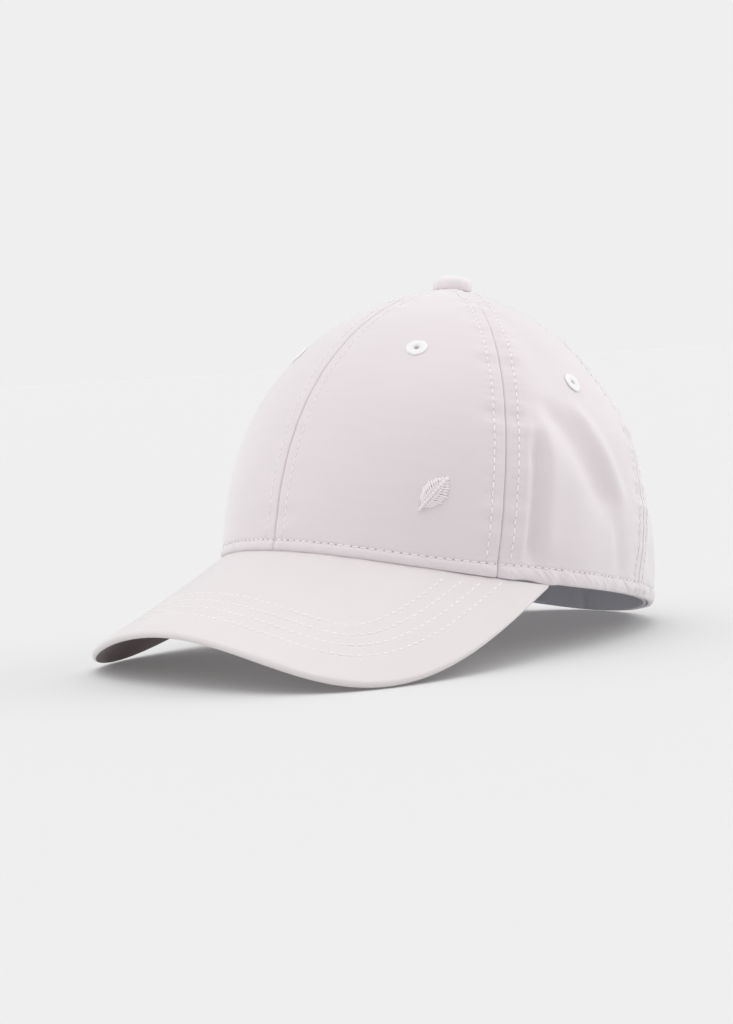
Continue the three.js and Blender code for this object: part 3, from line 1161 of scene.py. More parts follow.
    def stitching(self) -> None:
        """Sews the rows beside every seam and round the hem."""
        shape, place = self.shop.shape, self.shop.place
        # The seams' needle holes get a lighter painted shade than the hem's.
        thread = Stitches("seam_stitches", "seam_thread", "painted_shade_seam_hole")
        foot, top = shape.slit_rises()
        for seam, offset, side in self.seam_rows():
            rises, run = shape.climb_table(seam.around)
            rise = np.interp(np.arange(0.0068, run[-1] - 0.008, 0.0006), run, rises)
            if seam.around == 180.0:
                rise = rise[(rise < foot - 5.0) | (rise > top + 2.0)]
            around = (seam.around + offset / shape.stride(seam.around, rise)) * side.value
            line = place.points(shape.point(around, rise))
            normals = self.shop.normals(around, rise)
            breaks = np.where(np.linalg.norm(np.diff(line, axis=0), axis=1) > 0.01)[0] + 1
            for part in np.split(np.arange(len(line)), breaks):
                if len(part) > 8:
                    thread.row(line[part], normals[part], shape.stitch_pitch, self.seam_thread, True)
        thread.build(self.shop, "eyelet_thread")
        # The hem's needle holes get the darkest painted shade.
        hem = Stitches("hem_stitches", "hem_thread")
        around = np.linspace(-180.0, 180.0, self.hem_columns + 1)
        rise = shape.rise_at(around, shape.hem_row(around))
        line = place.points(shape.point(around, rise, np.full_like(around, -self.hem_sink)))
        normals = self.shop.normals(around, rise)
        hem.row(line, normals, shape.stitch_pitch, self.hem_thread, True)
        hem.build(self.shop, "eyelet_thread")

    def build(self) -> None:
        """Makes all six panels, the hem and the stitching."""
        for side in Side:
            for kind in Panel:
                self.panel(kind, side)
        self.rolled_hem()
        self.stitching()


@dataclass
class Brim:
    """The curved brim: a board covered in cloth, with rows of stitches along its edge.

    Attributes:
        shop: The shared shape, place and finishes.
        reach: How far it stands out from the crown's front.
        front_drop: How far its front edge lies below the hem.
        thickness: Board and cloth together.
        arch_radius: How strongly it is curved from side to side.
        side_rise: How fast its edge climbs from the front to the corner.
        side_radius: How that climb steepens.
        corner_around: Where it ends on the hem.
        corner_splay: Sideways pull of the outline at the corner.
        corner_run: Forward pull of the outline at the corner.
        front_breadth: Sideways pull of the outline in front.
        gap: Room between it and the crown.
        rows: Distances of the stitch rows from the edge.
        row_dent: The dent along a row.
        thread: Radius of its thread.
        columns: Faces from corner to corner.
        under_rows: Faces from the hem to the edge, underneath.
        edge_rows: Faces round the edge.
        over_rows: Faces from the edge to the hem, on top.
    """

    shop: Workshop
    reach: float = 0.0514
    front_drop: float = 0.0388
    thickness: float = 0.0032
    arch_radius: float = 0.145
    side_rise: float = 0.264
    side_radius: float = 0.185
    corner_around: float = 75.1
    corner_splay: float = 0.0192
    corner_run: float = 0.0748
    front_breadth: float = 0.0903
    gap: float = 0.0003
    rows: tuple[float, ...] = (0.014, 0.0195, 0.025, 0.0305)
    row_dent: Bump = Bump(-0.00005, 0.0009)
    thread: float = 0.00028
    columns: int = 300
    under_rows: int = 24
    edge_rows: int = 10
    over_rows: int = 64

    def edge(self, share: Points) -> Points:
        """The outer edge on the wearer's left, from 0 at the corner to 1 in front.

        Args:
            share: How far along.

        Returns:
            A point for each share.
        """
        shape = self.shop.shape
        corner = np.array(self.corner_around)
        x, y = (float(measure) for measure in shape.hem_outline(corner))
        front = shape.hem_half_length + self.reach
        hull = np.array([
            (x, -y), (x + self.corner_splay, -y + self.corner_run),
            (self.front_breadth, front), (0.0, front),
        ])
        t = share[..., None]
        plan = (hull[0] * (1 - t) ** 3 + 3 * hull[1] * t * (1 - t) ** 2
                + 3 * hull[2] * t ** 2 * (1 - t) + hull[3] * t ** 3)

        def height(x: Points, forward: Points) -> Points:
            """The edge's height over a place in plan.

            Args:
                x: Distance from the middle.
                forward: Distance in front of the origin.

            Returns:
                The height, before the corner is brought to the hem.
            """
            back = front - forward
            arch = x ** 2 / (2.0 * self.arch_radius)
            return -self.front_drop - arch + self.side_rise * back + back ** 2 / (2.0 * self.side_radius)

        miss = shape.hem_height(corner) - height(hull[0, 0], hull[0, 1])
        z = height(plan[..., 0], plan[..., 1]) + miss * (1.0 - share) ** 6
        return np.stack([plan[..., 0], -plan[..., 1], z], -1)

    def inner(self, around: Points) -> Points:
        """The hem line that the brim is sewn to."""
        x, y = self.shop.shape.hem_outline(around)
        return np.stack([x, y, self.shop.shape.hem_height(around) - self.gap], -1)

    def top(self, around: Points, out: Points, inset: Points = 0.0) -> Points:
        """The top of the brim.

        Args:
            around: Where on the hem the line starts, on the left only.
            out: From 0 at the hem to 1 at the edge.
            inset: How far the edge is drawn in.

        Returns:
            A point for each place.
        """
        inner = self.inner(around)
        edge = self.edge(1.0 - around / self.corner_around)
        edge = edge - np.array([0.0, 0.0, self.gap])
        run = edge - inner
        length = np.linalg.norm(run, axis=-1, keepdims=True)
        edge = edge - run / np.maximum(length, 1e-5) * np.broadcast_to(inset, around.shape)[..., None]
        return inner + (edge - inner) * out[..., None]

    def normal(self, around: Points, out: Points) -> Points:
        """The top's upward normal.

        Args:
            around: Where on the hem the line starts.
            out: From 0 at the hem to 1 at the edge.

        Returns:
            A unit vector for each place.
        """
        a = np.minimum(around, self.corner_around * 0.93)
        outward = self.top(a, out + 0.02) - self.top(a, out - 0.02)
        aside = self.top(a + 0.3, out) - self.top(a - 0.3, out)
        return unit(np.cross(outward, aside))

    def edge_distance(self, points: Points) -> Points:
        """Distance of each point from the outer edge.

        Args:
            points: Points on the brim's top, on the left.

        Returns:
            The distances in metres.
        """
        rim = self.edge(np.linspace(0.0, 1.0, 240)) - np.array([0.0, 0.0, self.gap])
        mirrored = rim * np.array([-1.0, 1.0, 1.0])
        rim = np.concatenate([rim, mirrored[::-1]])
        nearest = np.full(points.shape[:-1], np.inf)
        for spot in rim:
            nearest = np.minimum(nearest, np.linalg.norm(points - spot, axis=-1))
        return nearest

    def section(self) -> Points:
        """The way round the board: its underside, its edge, its top and back inside the crown.

        Returns:
            A row for each corner: how far out it is, below 0 inside the crown, and its angle
            round the edge, from -90 underneath to 90 on top.
        """
        under, turn, over = self.under_rows, self.edge_rows, self.over_rows
        below = np.concatenate([[-1.0, -0.5], np.linspace(0, 1, under - 1)])
        bend = np.linspace(-90.0, 90.0, turn + 1)[1:-1]
        outs = np.concatenate([below, np.ones(turn - 1), np.linspace(1, 0, over - 1), [-0.5, -1.0, -1.0]])
        angles = np.concatenate([np.full(len(below), -90.0), bend, np.full(over + 1, 90.0), [-90.0]])
        return np.stack([outs, angles], -1)

    def tuck(self, around: Points, out: Points) -> Points:
        """Leads the board on inside the crown, where out is below 0.

        Args:
            around: Where on the hem the line starts.
            out: How far out the place is.

        Returns:
            What is added to the points.
        """
        shape = self.shop.shape
        inward = shape.normal(around, np.zeros_like(around))
        inward[..., 2] = 0.0
        tuck = np.minimum(out, 0.0) * shape.cloth
        moved = unit(inward) * tuck[..., None]
        slope = self.front_drop / self.reach * np.cos(np.pi / 2.0 * around / self.corner_around)
        moved[..., 2] -= tuck * slope
        return moved

    def board(self) -> None:
        """Makes the covered board as one closed shell."""
        section = self.section()
        count = len(section) - 1

        def drape(u: Points, v: Points) -> tuple[Points, Points]:
            """Wraps the grid round the board's section.

            Args:
                u: Share of the way from the left corner to the right one.
                v: Share of the section's corners.

            Returns:
                The points and their positions in the pattern.
            """
            signed = 1.0 - 2.0 * u
            signed = np.sign(signed) * (1.0 - (1.0 - np.abs(signed)) ** 1.15)
            around = np.abs(signed) * self.corner_around * 0.992
            out, angle = along_section(section, v)
            angle = np.radians(angle)
            on = np.maximum(out, 0.0)
            ruling = self.edge(1.0 - around / self.corner_around) - self.inner(around)
            half = np.minimum(self.thickness / 2.0, 0.3 * np.linalg.norm(ruling, axis=-1))
            top = self.top(around, on, half)
            lift = self.top_relief(self.edge_distance(top), around, on) * (np.sin(angle) > 0.99)
            flat = smooth(1.0 - on / 0.1)[..., None]
            up = unit(self.normal(around, on) * (1.0 - flat) + np.array([0.0, 0.0, 1.0]) * flat)
            outward = unit(self.top(around, on + 0.02) - self.top(around, on))
            reach = np.cos(angle) * half
            rise = (np.sin(angle) - 1.0) * half + lift
            points = top + up * rise[..., None] + outward * reach[..., None] + self.tuck(around, out)
            points[..., 0] = np.where(signed < 0, -points[..., 0], points[..., 0])
            return self.shop.place.points(points), points

        piece = grid_mesh("brim_board", self.columns, count, drape)
        # The underside's rows get a dark copy of the brim's cloth: painted shade under the brim.
        self.shop.dress(piece.data, "brim_cloth", "painted_shade_under_cloth")
        for face in piece.data.polygons:
            face.material_index = int(face.index // self.columns <= self.under_rows + 1)
        close_mesh(piece)
        self.shop.finish(piece, ["brim"], "brim_fabric", "brim_cloth")

    def top_relief(self, distance: Points, around: Points, out: Points) -> Points:
        """Dents along the stitch rows and a slight unevenness of the cover.

        Args:
            distance: Distance from the edge.
            around: Where on the hem the line starts.
            out: From 0 at the hem to 1 at the edge.

        Returns:
            The lift in metres.
        """
        dents = sum(self.row_dent.at(distance - row) for row in self.rows)
        return dents + 0.00008 * waves(around * 0.0012 + out * 0.03, 0.02, 31)

    def stitching(self) -> None:
        """Sews the rows that run parallel to the edge."""
        place = self.shop.place
        thread = Stitches("brim_stitches", "brim_thread")
        around = np.linspace(0.05, self.corner_around * 0.985, 260)
        outs = np.linspace(0.0, 0.98, 140)
        grid = np.meshgrid(around, outs, indexing="ij")
        half = self.thickness / 2.0
        distance = self.edge_distance(self.top(*grid, np.full(grid[0].shape, half)))
        for row in self.rows:
            line = []
            for a, distances in zip(around, distance):
                if distances[0] <= row + 0.0003:
                    break
                line.append((a, np.interp(-row, -distances, outs)))
            spots_around, spots_out = np.array(line).T
            normals = self.normal(spots_around, spots_out)
            spots = self.top(spots_around, spots_out, np.full(len(line), half)) - normals * 0.00005
            for side in Side:
                mirror = np.array([side.value, 1.0, 1.0])
                thread.row(place.points(spots * mirror), place.directions(normals * mirror),
                           self.shop.shape.stitch_pitch, self.thread)
        thread.build(self.shop, "eyelet_thread")

    def build(self) -> None:
        """Makes the board and its stitching."""
        self.board()
        self.stitching()


@dataclass
class Sweatband:
    """The dark band inside the hem.

    Attributes:
        shop: The shared shape, place and finishes.
        height: How far up it reaches.
        cloth: Its thickness.
        gap: Room between it and the crown.
        edge: Rounding of its edges.
        seam_around: Where its ends are sewn together, in degrees.
        seam_groove: The groove there.
        lap: How far the lapped end beside it stands up.
        degree: Length of a degree round the band.
    """

    shop: Workshop
    height: float = 0.026
    cloth: float = 0.0015
    gap: float = 0.0003
    edge: float = 0.0004
    seam_around: float = -175.5
    seam_groove: Bump = Bump(0.0009, 0.0007)
    lap: Bump = Bump(-0.0009, 0.0025)
    degree: float = 0.0015

    def build(self) -> None:
        """Makes the band as a closed ring with rounded edges."""
        shape, place = self.shop.shape, self.shop.place
        tall, edge = self.height, self.edge
        outer = shape.cloth + self.gap
        middle, inner = outer + self.cloth / 2, outer + self.cloth
        start = (0.75 * edge, outer + 0.75 * edge)
        section = np.array([
            start, (0.0, middle), (edge, inner), (0.25 * tall, inner), (0.5 * tall, inner),
            (0.75 * tall, inner), (tall - edge, inner), (tall, middle), (tall - edge, outer),
            (0.6 * tall, outer), (0.3 * tall, outer), start,
        ])

        def drape(u: Points, v: Points) -> tuple[Points, Points]:
            """Sweeps the section round the inside of the hem.

            Args:
                u: Share of the way round.
                v: Share of the section's corners.

            Returns:
                The points and their positions in the pattern.
            """
            around = 360.0 * u - 180.0
            up, depth = along_section(section, v)
            rise = shape.rise_at(around, self.height) * up / self.height
            aside = (around - self.seam_around) * self.degree
            lap = self.lap.at(aside - 0.003) * bell(up - 0.3 * tall, 0.35 * tall)
            seam = (self.seam_groove.at(aside) + lap) * (depth > middle)
            lift = shape.folds(around, rise) - depth + seam
            points = shape.skin(around, rise) + shape.normal(around, rise) * lift[..., None]
            return place.points(points), np.stack([np.radians(around) * 0.09, up, depth], -1)

        piece = grid_mesh("band_lining", 900, 33, drape)
        close_mesh(piece, fill=False)
        self.shop.finish(piece, ["sweatband"], "sweatband_fabric", "band_cloth")


@dataclass
class Button:
    """The covered button on top.

    Attributes:
        shop: The shared shape, place and finishes.
        radius: Its radius.
        height: Its height over the crown.
        sink: How far its foot goes into the crown.
        lean: How far it leans forward, in degrees.
        pleat: Height of the cover's pleats round its side.
        outline: Shares of the radius and of the height, from the side's foot to the top.
    """

    shop: Workshop
    radius: float = 0.0086
    height: float = 0.0066
    sink: float = 0.0004
    lean: float = 6.0
    pleat: float = 0.00012
    outline: tuple[tuple[float, float], ...] = (
        (0.96, 0.0), (1.0, 0.25), (0.995, 0.45), (0.95, 0.63), (0.85, 0.79), (0.7, 0.9), (0.5, 0.97),
        (0.25, 0.995), (0.0, 1.0),
    )

    def build(self) -> None:
        """Spins the button's outline round its axis."""
        shape = self.shop.shape
        foot = [(share * self.radius, -self.sink) for share in (0.0, 0.55, 0.86)]
        side = [(share * self.radius, up * self.height) for share, up in self.outline]
        mesh = bpy.data.meshes.new("covered_button")
        with edited(mesh) as bm:
            verts = [bm.verts.new((x, 0.0, z)) for x, z in foot + side]
            edges = [bm.edges.new(pair) for pair in zip(verts[:-1], verts[1:])]
            bmesh.ops.spin(bm, geom=verts + edges, cent=(0, 0, 0), axis=(0, 0, 1), angle=2 * math.pi,
                           steps=64, use_merge=True)
            bmesh.ops.remove_doubles(bm, verts=bm.verts, dist=WELD / 2.0)
            bmesh.ops.recalc_face_normals(bm, faces=bm.faces)
            for vert in bm.verts:
                reach = math.hypot(vert.co.x, vert.co.y) / self.radius
                turn = math.atan2(vert.co.y, vert.co.x)
                pleat = self.pleat * math.sin(11 * turn + 1.3 * math.sin(3 * turn))
                wider = 1.0 + pleat * max(0.0, reach - 0.6) / 0.4 / self.radius
                vert.co.x *= wider
                vert.co.y *= wider
            lean = Matrix.Rotation(math.radians(self.lean), 3, "X")
            bmesh.ops.rotate(bm, verts=bm.verts, cent=(0, 0, 0), matrix=lean)
        local = vertices(mesh)
        upright = local + np.array([0.0, -shape.button_forward, shape.crown_height])
        piece = lay(mesh, self.shop.place.points(upright), local)
        smoothing = piece.modifiers.new("smooth", "SUBSURF")
        smoothing.levels = smoothing.render_levels = 1
        # The button's cloth is a lighter copy of the crown's: painted light on top.
        self.shop.finish(piece, ["button"], "crown_fabric", "lit_button_cloth")


@dataclass
class Eyelets:
    """Six embroidered eyelets, one in each panel.

    Attributes:
        shop: The shared shape, place and finishes.
        spots: How far round and up each panel's eyelet is.
        radius: Outer radius of the embroidery.
        hole: Radius of the hole.
        relief: Height of the embroidery.
        threads: How many stitches go round.
        ridge: Height of each stitch over the ones beside it.
        lip: Width of the turned edge inside the crown.
        columns: Faces round an eyelet, four for each stitch.
        hole_rows: The rows of faces in the hole, from the first to the one after the last, which get the
            painted shade of the hole.
    """

    shop: Workshop
    spots: dict[Panel, tuple[float, float]]
    radius: float = 0.0044
    hole: float = 0.00095
    relief: float = 0.00065
    threads: int = 34
    ridge: float = 0.00016
    lip: float = 0.0007
    columns: int = 136
    hole_rows: tuple[int, int] = (14, 18)

    def local_frame(self, around: float, rise: float) -> tuple[Points, Points]:
        """A place on the resting cap's cloth with its own axes.

        Args:
            around: Where round the head.
            rise: How far up.

        Returns:
            The point, and a matrix whose columns point along, up and out.
        """
        shape, place = self.shop.shape, self.shop.place
        a, t = np.array([around]), np.array([rise])
        centre = place.points(shape.point(a, t))[0]
        out = self.shop.normals(a, t)[0]
        side = (place.points(shape.skin(a + 0.5, t)) - place.points(shape.skin(a - 0.5, t)))[0]
        side = unit(side - out * side.dot(out))
        return centre, np.stack([side, np.cross(out, side), out], -1)

    def section(self) -> Points:
        """The way round an eyelet: over its embroidery, down its hole and back inside.

        Returns:
            A row for each corner: its distance from the middle and its height.
        """
        r, h, hole, wall = self.radius, self.relief, self.hole, self.shop.shape.cloth
        return np.array([
            (r, 0.0), (r, 0.3 * h), (0.93 * r, 0.72 * h), (0.8 * r, 0.96 * h), (0.6 * r, h),
            (0.4 * r, 0.95 * h), (0.3 * r, 0.7 * h), (1.1 * hole, 0.1 * h), (hole, -0.6 * wall),
            (hole, -1.1 * wall), (hole + self.lip, -1.1 * wall), (hole + self.lip, -0.1 * MM),
            (0.7 * r, -0.1 * MM), (r, 0.0),
        ])

    def eyelet(self, kind: Panel, side: Side) -> None:
        """Makes one eyelet.

        Args:
            kind: The panel that it is in.
            side: The wearer's left or right.
        """
        around, rise = self.spots[kind]
        middle = around * side.value
        centre, axes = self.local_frame(middle, rise)
        r, h = self.radius, self.relief
        section = self.section()

        def drape(u: Points, v: Points) -> tuple[Points, Points]:
            """Sweeps the section round the eyelet, with a ridge for each thread.

            Args:
                u: Share of the way round.
                v: Share of the section's corners.

            Returns:
                The points and their positions in the pattern.
            """
            reach, height = along_section(section, v)
            turn = 2.0 * np.pi * u
            wobble = 1.0 + 0.02 * np.sin(3 * turn + middle) + 0.015 * np.sin(7 * turn)
            ridge = np.abs(np.sin(self.threads * turn / 2.0 + 0.4 * reach / r)) - 0.6
            face = smooth(height / (0.3 * h)) * smooth((reach - self.hole) / (0.15 * r))
            height = height + self.ridge * face * ridge
            edge = 0.0001 * ridge * (reach > 0.9 * r)
            reach = reach * np.where(height > 0, wobble, 1.0) + edge
            local = np.stack([reach * np.cos(turn), reach * np.sin(turn), height], -1)
            return centre + local @ axes.T, local

        name = f"{kind.value}_{side.name.lower()}"
        piece = grid_mesh(f"stitched_eyelet_{name}", self.columns, 26, drape)
        # The hole's wall gets a darker copy of the thread's colour, painted shade in the hole, lifted by a
        # little painted glow.
        self.shop.dress(piece.data, "eyelet_thread", "eyelet_hole")
        first, end = self.hole_rows
        for face in piece.data.polygons:
            face.material_index = int(first <= face.index // self.columns < end)
        close_mesh(piece, fill=False)
        self.shop.finish(piece, [f"eyelet_{name}"], "eyelet_thread", "eyelet_thread")

    def build(self) -> None:
        """Makes all six."""
        for side in Side:
            for kind in Panel:
                self.eyelet(kind, side)


@dataclass
class SlitBindings:
    """The bound edges of the ponytail slit, which cross below it.

    Attributes:
        shop: The shared shape, place and finishes.
        width: Width of a bound edge.
        cloth: Its thickness.
        tail: How far it runs on below the slit.
        over: How far it runs on above it, as a share of the slit.
        gap: Room between pieces.
        pucker: How much thicker and thinner it gets at the stitches.
        thread: Radius of its thread.
        padding: Its section: shares of half the width and of the thickness.
    """

    shop: Workshop
    width: float = 0.005
    cloth: float = 0.0013
    tail: float = 0.01
    over: float = 0.06
    gap: float = 0.0003
    pucker: float = 0.09
    thread: float = 0.00021
    padding: tuple[tuple[float, float], ...] = (
        (-1.0, 0.35), (-0.94, 0.8), (-0.7, 1.0), (-0.35, 1.0), (0.0, 0.93), (0.3, 0.98), (0.62, 1.0),
        (0.85, 0.72), (0.97, 0.4), (1.0, 0.0), (-1.0, 0.0), (-1.0, 0.35),
    )

    def centre_line(self, run: Points, side: Side) -> tuple[Points, Points, Points]:
        """Where a bound edge runs.

        Args:
            run: Share of the way up the slit, below 0 on the tail.
            side: Which edge.

        Returns:
            Its rise, its distance from the back seam and its height over the cloth.
        """
        shape = self.shop.shape
        foot, top = shape.slit_rises()
        rise = foot + (top - foot) * run
        tail = self.tail / shape.slit_length
        cross = np.where(run < 0, self.width * run / tail, 0.0)
        aside = shape.slit_half(rise) + self.width / 2.0 + self.gap / 2.0 + cross
        lowest = self.gap + (self.cloth + self.gap if side is Side.LEFT else 0.0)
        lift = lowest + (self.gap - lowest) * smooth((run - 0.06) / 0.3)
        return rise, aside, lift

    def binding(self, side: Side) -> None:
        """Makes one bound edge.

        Args:
            side: Which edge.
        """
        shape, place = self.shop.shape, self.shop.place
        section = np.array(self.padding) * (self.width / 2.0, 1.0)
        tail = self.tail / shape.slit_length

        def drape(u: Points, v: Points) -> tuple[Points, Points]:
            """Sweeps the padded section along the slit.

            Args:
                u: Share of the way from the tail's end to the top.
                v: Share of the section's corners.

            Returns:
                The points and their positions in the pattern.
            """
            run = -tail + (1.0 + self.over + tail) * u
            rise, aside, lift = self.centre_line(run, side)
            across, level = along_section(section, v)
            climb = run * shape.slit_length
            beat = np.cos(2 * np.pi * climb / shape.stitch_pitch)
            height = lift + level * self.cloth * (1.0 + self.pucker * beat * bell(across, 0.0012))
            around = 180.0 - (aside + across) / shape.stride(np.full_like(rise, 180.0), rise)
            point = shape.point(around * side.value, rise, height)
            return place.points(point), np.stack([climb, across, height], -1)

        piece = grid_mesh(f"bound_edge_{side.name.lower()}", 150, 33, drape)
        close_mesh(piece)
        self.shop.finish(piece, [f"slit_binding_{side.name.lower()}"], "crown_fabric", "crown_cloth")

    def build(self) -> None:
        """Makes both edges and the row of stitches along each."""
        thread = Stitches("slit_stitches", "seam_thread")
        shape = self.shop.shape
        for side in Side:
            self.binding(side)
            rise, aside, lift = self.centre_line(np.linspace(0.02, 0.98, 160), side)
            around = (180.0 - aside / shape.stride(np.full_like(rise, 180.0), rise)) * side.value
            line = self.shop.place.points(shape.point(around, rise, lift + self.cloth * 0.95))
            thread.row(line, self.shop.normals(around, rise), shape.stitch_pitch, self.thread)
        thread.build(self.shop, "eyelet_thread")


@dataclass
class FrontLeaf:
    """A small raised leaf in satin stitch, on the left front panel.

    Attributes:
        shop: The shared shape, place and finishes.
        around: Where round the head.
        rise: How far up.
        length: Its length.
        width: Its width.
        lean: How far it leans over, in degrees.
        threads: Stitches on each side of the midrib.
        thread_radius: Half the width of one of them.
        slant: How far each runs towards the tip, as a share of half the length.
        foot: Height of the stitches over the cloth at both ends of the leaf.
        bulk: How much higher they are in its middle.
        pads: Wide stitches underneath.
        pad_radius: Half the width of one of them.
        rib_stops: Where the midrib's stitches end.
    """

    shop: Workshop
    around: float = 42.0
    rise: float = 12.2
    length: float = 0.016
    width: float = 0.009
    lean: float = 35.0
    threads: int = 14
    thread_radius: float = 0.0006
    slant: float = 0.3
    foot: float = 0.0003
    bulk: float = 0.0009
    pads: int = 8
    pad_radius: float = 0.0016
    rib_stops: int = 12

    def spot(self, x: float, share: float, height: float) -> Points:
        """A point over the cloth at a place on the leaf.

        Args:
            x: Distance across the leaf.
            share: Place along it, from -1 at its foot to 1 at its tip.
            height: How far above the cloth.

        Returns:
            The placed point.
        """
        shape = self.shop.shape
        turn = math.radians(-self.lean)
        y = share * self.length / 2.0
        across = x * math.cos(turn) - y * math.sin(turn)
        along = x * math.sin(turn) + y * math.cos(turn)
        a0, t0 = np.array([self.around]), np.array([self.rise])
        a = a0 + across / shape.stride(a0, t0)
        t = t0 + along / shape.stride_up(a0, t0)
        return self.shop.place.points(shape.point(a, t, np.array([height])))[0]

    def build(self) -> None:
        """Makes the leaf from slanted stitches and a raised midrib."""
        thread = Stitches("leaf_stitches", "leaf_thread")
        normal = self.shop.normals(np.array([self.around]), np.array([self.rise]))[0]
        for side in (-1.0, 1.0):
            for i in range(self.threads):
                share = -0.96 + 1.8 * (i + 0.5) / self.threads
                tip = min(0.97, share + self.slant)
                bulk = self.bulk * (1.0 - share * share) + self.foot
                edge = side * self.width / 2.0 * (1.0 - tip * tip) * (1.0 if i % 3 else 1.08)
                thread.chain([
                    self.spot(side * 0.0002, share, bulk),
                    self.spot(0.5 * edge, 0.6 * share + 0.4 * tip, bulk + self.foot),
                    self.spot(edge, tip, 0.0001),
                ], normal, self.thread_radius, 0.12)
        for share in np.linspace(-0.8, 0.45, self.pads):
            edge = 0.4 * self.width * (1.0 - share * share)
            ends = [self.spot(side * edge, share + 0.12, self.foot) for side in (-1.0, 1.0)]
            thread.add(*ends, normal, self.pad_radius, 0.45)
        ribs = [self.spot(0.0, share, self.bulk * (1 - share * share) + 0.0008)
                for share in np.linspace(-1.2, 0.9, self.rib_stops)]
        thread.chain(ribs, normal, 1.25 * self.thread_radius, 0.2)
        thread.build(self.shop, "crown_fabric", ["front_leaf"])


@dataclass(frozen=True)
class Lamp:
    """A soft, even light.

    Attributes:
        name: Its name.
        towards: Where it comes from: right in the picture, away from the camera, up.
        softness: Its apparent size in degrees.
        power: Its strength.
    """

    name: str
    towards: tuple[float, float, float]
    softness: float
    power: float

    def build(self, right: Vector, ahead: Vector) -> None:
        """Adds the light.

        Args:
            right: The direction to the right in the picture.
            ahead: The level direction away from the camera.
        """
        source = right * self.towards[0] + ahead * self.towards[1] + Vector((0.0, 0.0, self.towards[2]))
        data = bpy.data.lights.new(self.name, "SUN")
        data.angle = math.radians(self.softness)
        data.energy = self.power
        lamp = bpy.data.objects.new(self.name, data)
        lamp.rotation_euler = (-source).to_track_quat("-Z", "Y").to_euler()
        bpy.context.scene.collection.objects.link(lamp)


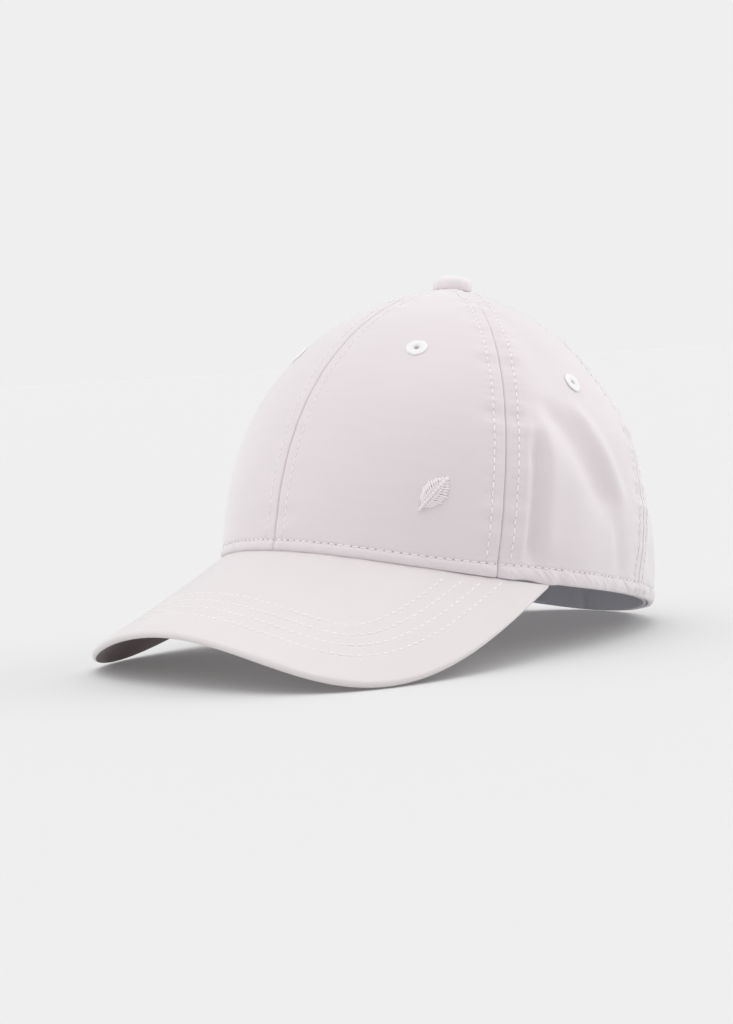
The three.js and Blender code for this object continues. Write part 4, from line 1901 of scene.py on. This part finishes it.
@dataclass(frozen=True)
class Studio:
    """The pale table, the soft lights and the camera.

    Attributes:
        azimuth: Where the camera stands, in degrees from the front to the wearer's left.
        elevation: How far above the horizon it looks from.
        roll: How far it is turned about its own axis.
        distance: From the camera to its target.
        focal_pixels: Focal length in pixels of the picture.
        picture_height: The picture's height in pixels.
        target_side: How far right of the origin the target lies in the picture.
        target_back: How far behind the origin it lies.
        target_up: How far above the floor it lies.
        room: Radius of the table.
        table_white: How much light the table returns.
        table_glow: How much light the table gives off by itself.
        room_levels: The room's brightness, from behind the camera at 0 to ahead of it at 1.
        room_peak: What the brightnesses are shares of.
        lamps: The lights from above, from the right and from the left.
    """

    azimuth: float = 47.485
    elevation: float = 3.8235
    roll: float = -3.4419
    distance: float = 0.9692
    focal_pixels: float = 2269.3
    picture_height: float = 1024.0
    target_side: float = -0.031407
    target_back: float = 0.02431
    target_up: float = 0.056102
    room: float = 60.0
    table_white: float = 0.673
    table_glow: float = 0.1
    room_levels: tuple[tuple[float, float], ...] = (
        (0.0, 0.62), (1.0, 0.863), (0.3, 0.7), (0.5, 0.863),
    )
    room_peak: float = 0.9
    lamps: tuple[Lamp, ...] = (
        Lamp("key", (-0.1, -0.15, 1.0), 50.0, 0.74),
        Lamp("rim", (0.95, 0.25, 0.5), 40.0, 0.55),
        Lamp("fill", (-1.0, -0.05, 0.3), 60.0, 0.25),
    )

    def right(self) -> Vector:
        """The level direction to the right in the picture."""
        return Vector((math.cos(math.radians(self.azimuth)), math.sin(math.radians(self.azimuth)), 0.0))

    def ahead(self) -> Vector:
        """The level direction away from the camera."""
        return Vector((-math.sin(math.radians(self.azimuth)), math.cos(math.radians(self.azimuth)), 0.0))

    def camera(self) -> None:
        """Places the camera at the photograph's angle."""
        tilt, roll = math.radians(self.elevation), math.radians(self.roll)
        forward = self.ahead() * math.cos(tilt) - Vector((0.0, 0.0, math.sin(tilt)))
        right = self.right()
        up = right.cross(forward)
        target = right * self.target_side + Vector((0.0, self.target_back, self.target_up))
        x = right * math.cos(roll) + up * math.sin(roll)
        y = up * math.cos(roll) - right * math.sin(roll)
        data = bpy.data.cameras.new("camera")
        data.sensor_fit = "VERTICAL"
        data.sensor_height = 36.0
        data.lens = self.focal_pixels * data.sensor_height / self.picture_height
        data.clip_start = 0.01
        eye = bpy.data.objects.new("camera", data)
        turn = Matrix((x, y, -forward)).transposed().to_4x4()
        eye.matrix_world = Matrix.Translation(target - forward * self.distance) @ turn
        bpy.context.scene.collection.objects.link(eye)
        bpy.context.scene.camera = eye

    def table(self) -> None:
        """Makes a wide, flat, pale table."""
        mesh = bpy.data.meshes.new("table")
        with edited(mesh) as bm:
            bmesh.ops.create_circle(bm, cap_ends=True, segments=96, radius=self.room)
        wiring = Wiring("table_white", {
            "Base Color": (self.table_white,) * 3 + (1.0,), "Roughness": 0.9,
            "Specular IOR Level": 0.1, "Emission Color": WHITE, "Emission Strength": self.table_glow,
        })
        mesh.materials.append(wiring.material)
        floor = bpy.data.objects.new("table", mesh)
        bpy.context.scene.collection.objects.link(floor)

    def sky(self) -> None:
        """Makes the pale room: bright at the sides, dimmer behind the camera."""
        world = bpy.data.worlds.new("room")
        world.use_nodes = True
        nodes, links = world.node_tree.nodes, world.node_tree.links
        place = nodes.new("ShaderNodeTexCoord")
        ahead = nodes.new("ShaderNodeVectorMath")
        ahead.operation = "DOT_PRODUCT"
        ahead.inputs[1].default_value = self.ahead()
        links.new(place.outputs["Generated"], ahead.inputs[0])
        spread = nodes.new("ShaderNodeMapRange")
        spread.inputs["From Min"].default_value = -1.0
        links.new(ahead.outputs["Value"], spread.inputs["Value"])
        ramp = nodes.new("ShaderNodeValToRGB")
        links.new(spread.outputs["Result"], ramp.inputs["Fac"])
        for i, (turn, level) in enumerate(self.room_levels):
            stop = ramp.color_ramp.elements[i] if i < 2 else ramp.color_ramp.elements.new(turn)
            stop.position = turn
            stop.color = (level / self.room_peak,) * 3 + (1.0,)
        back = nodes["Background"]
        back.inputs["Strength"].default_value = self.room_peak
        links.new(ramp.outputs["Color"], back.inputs["Color"])
        bpy.context.scene.world = world

    def build(self) -> None:
        """Sets up the room."""
        self.camera()
        self.table()
        self.sky()
        bpy.context.scene.view_settings.view_transform = "Standard"
        for lamp in self.lamps:
            lamp.build(self.right(), self.ahead())


def finishes() -> dict[str, bpy.types.Material]:
    """Makes every material of the cap.

    Returns:
        The materials by name.
    """
    kinds = [
        Cloth("crown_cloth", (0.795, 0.73, 0.757), 0.45, 0.85),
        # The button is covered in the crown's cloth, in a lighter copy of its colour: painted light.
        Cloth("lit_button_cloth", (0.88, 0.825, 0.85), 0.5, 0.8),
        Cloth("brim_cloth", (0.80, 0.745, 0.752), 0.5, 0.8),
        # A dark copy of the brim's cloth for its underside: painted shade.
        Cloth("painted_shade_under_cloth", (0.21, 0.15, 0.155), 0.6, 0.15),
        Cloth("band_cloth", (0.74, 0.75, 0.81), 0.85, 0.4, thread=0.0005, relief=0.5, mottle=0.06),
        # The last number of each thread is its painted glow: light that it gives off by itself.
        Thread("seam_thread", (0.92, 0.89, 0.90), 0.45, 0.06),
        Thread("hem_thread", (0.91, 0.87, 0.88), 0.45, 0.05),
        Thread("brim_thread", (0.94, 0.92, 0.92), 0.45, 0.08),
        Thread("eyelet_thread", (0.91, 0.895, 0.905), 0.45, 0.05),
        Thread("leaf_thread", (0.88, 0.81, 0.84), 0.4, 0.03),
        # Dark colours for the needle holes: painted shade in them, darker on the hem's row.
        Thread("painted_shade_needle_hole", (0.34, 0.29, 0.30), 0.9),
        Thread("painted_shade_seam_hole", (0.56, 0.51, 0.53), 0.9),
        # The eyelet hole's wall: a darker copy of the eyelet thread, painted shade, lifted by a painted
        # glow.
        Thread("eyelet_hole", (0.72, 0.68, 0.70), 0.9, 0.06),
    ]
    return {kind.name: kind.build() for kind in kinds}


def main() -> None:
    """Builds the cap and its room."""
    logging.basicConfig(level=logging.INFO, format="%(message)s")
    shape = CapShape()
    top = np.array([0.0, -shape.button_forward, shape.crown_height + Button.height])
    mount = next(m for m in frame["record"]["mounts"] if m["name"] == "button_top")
    shop = Workshop(shape, Placement.from_mount(mount, top), finishes())
    Studio().build()
    eyelets = {Panel.FRONT: (31.0, 43.8), Panel.SIDE: (87.4, 40.8), Panel.BACK: (147.0, 43.0)}
    assemblies = (
        Crown(shop, eyelets), Brim(shop), Sweatband(shop), Button(shop), Eyelets(shop, eyelets),
        SlitBindings(shop), FrontLeaf(shop),
    )
    for assembly in assemblies:
        assembly.build()
        log.info("%s is done", type(assembly).__name__)


if __name__ == "__main__":
    main()
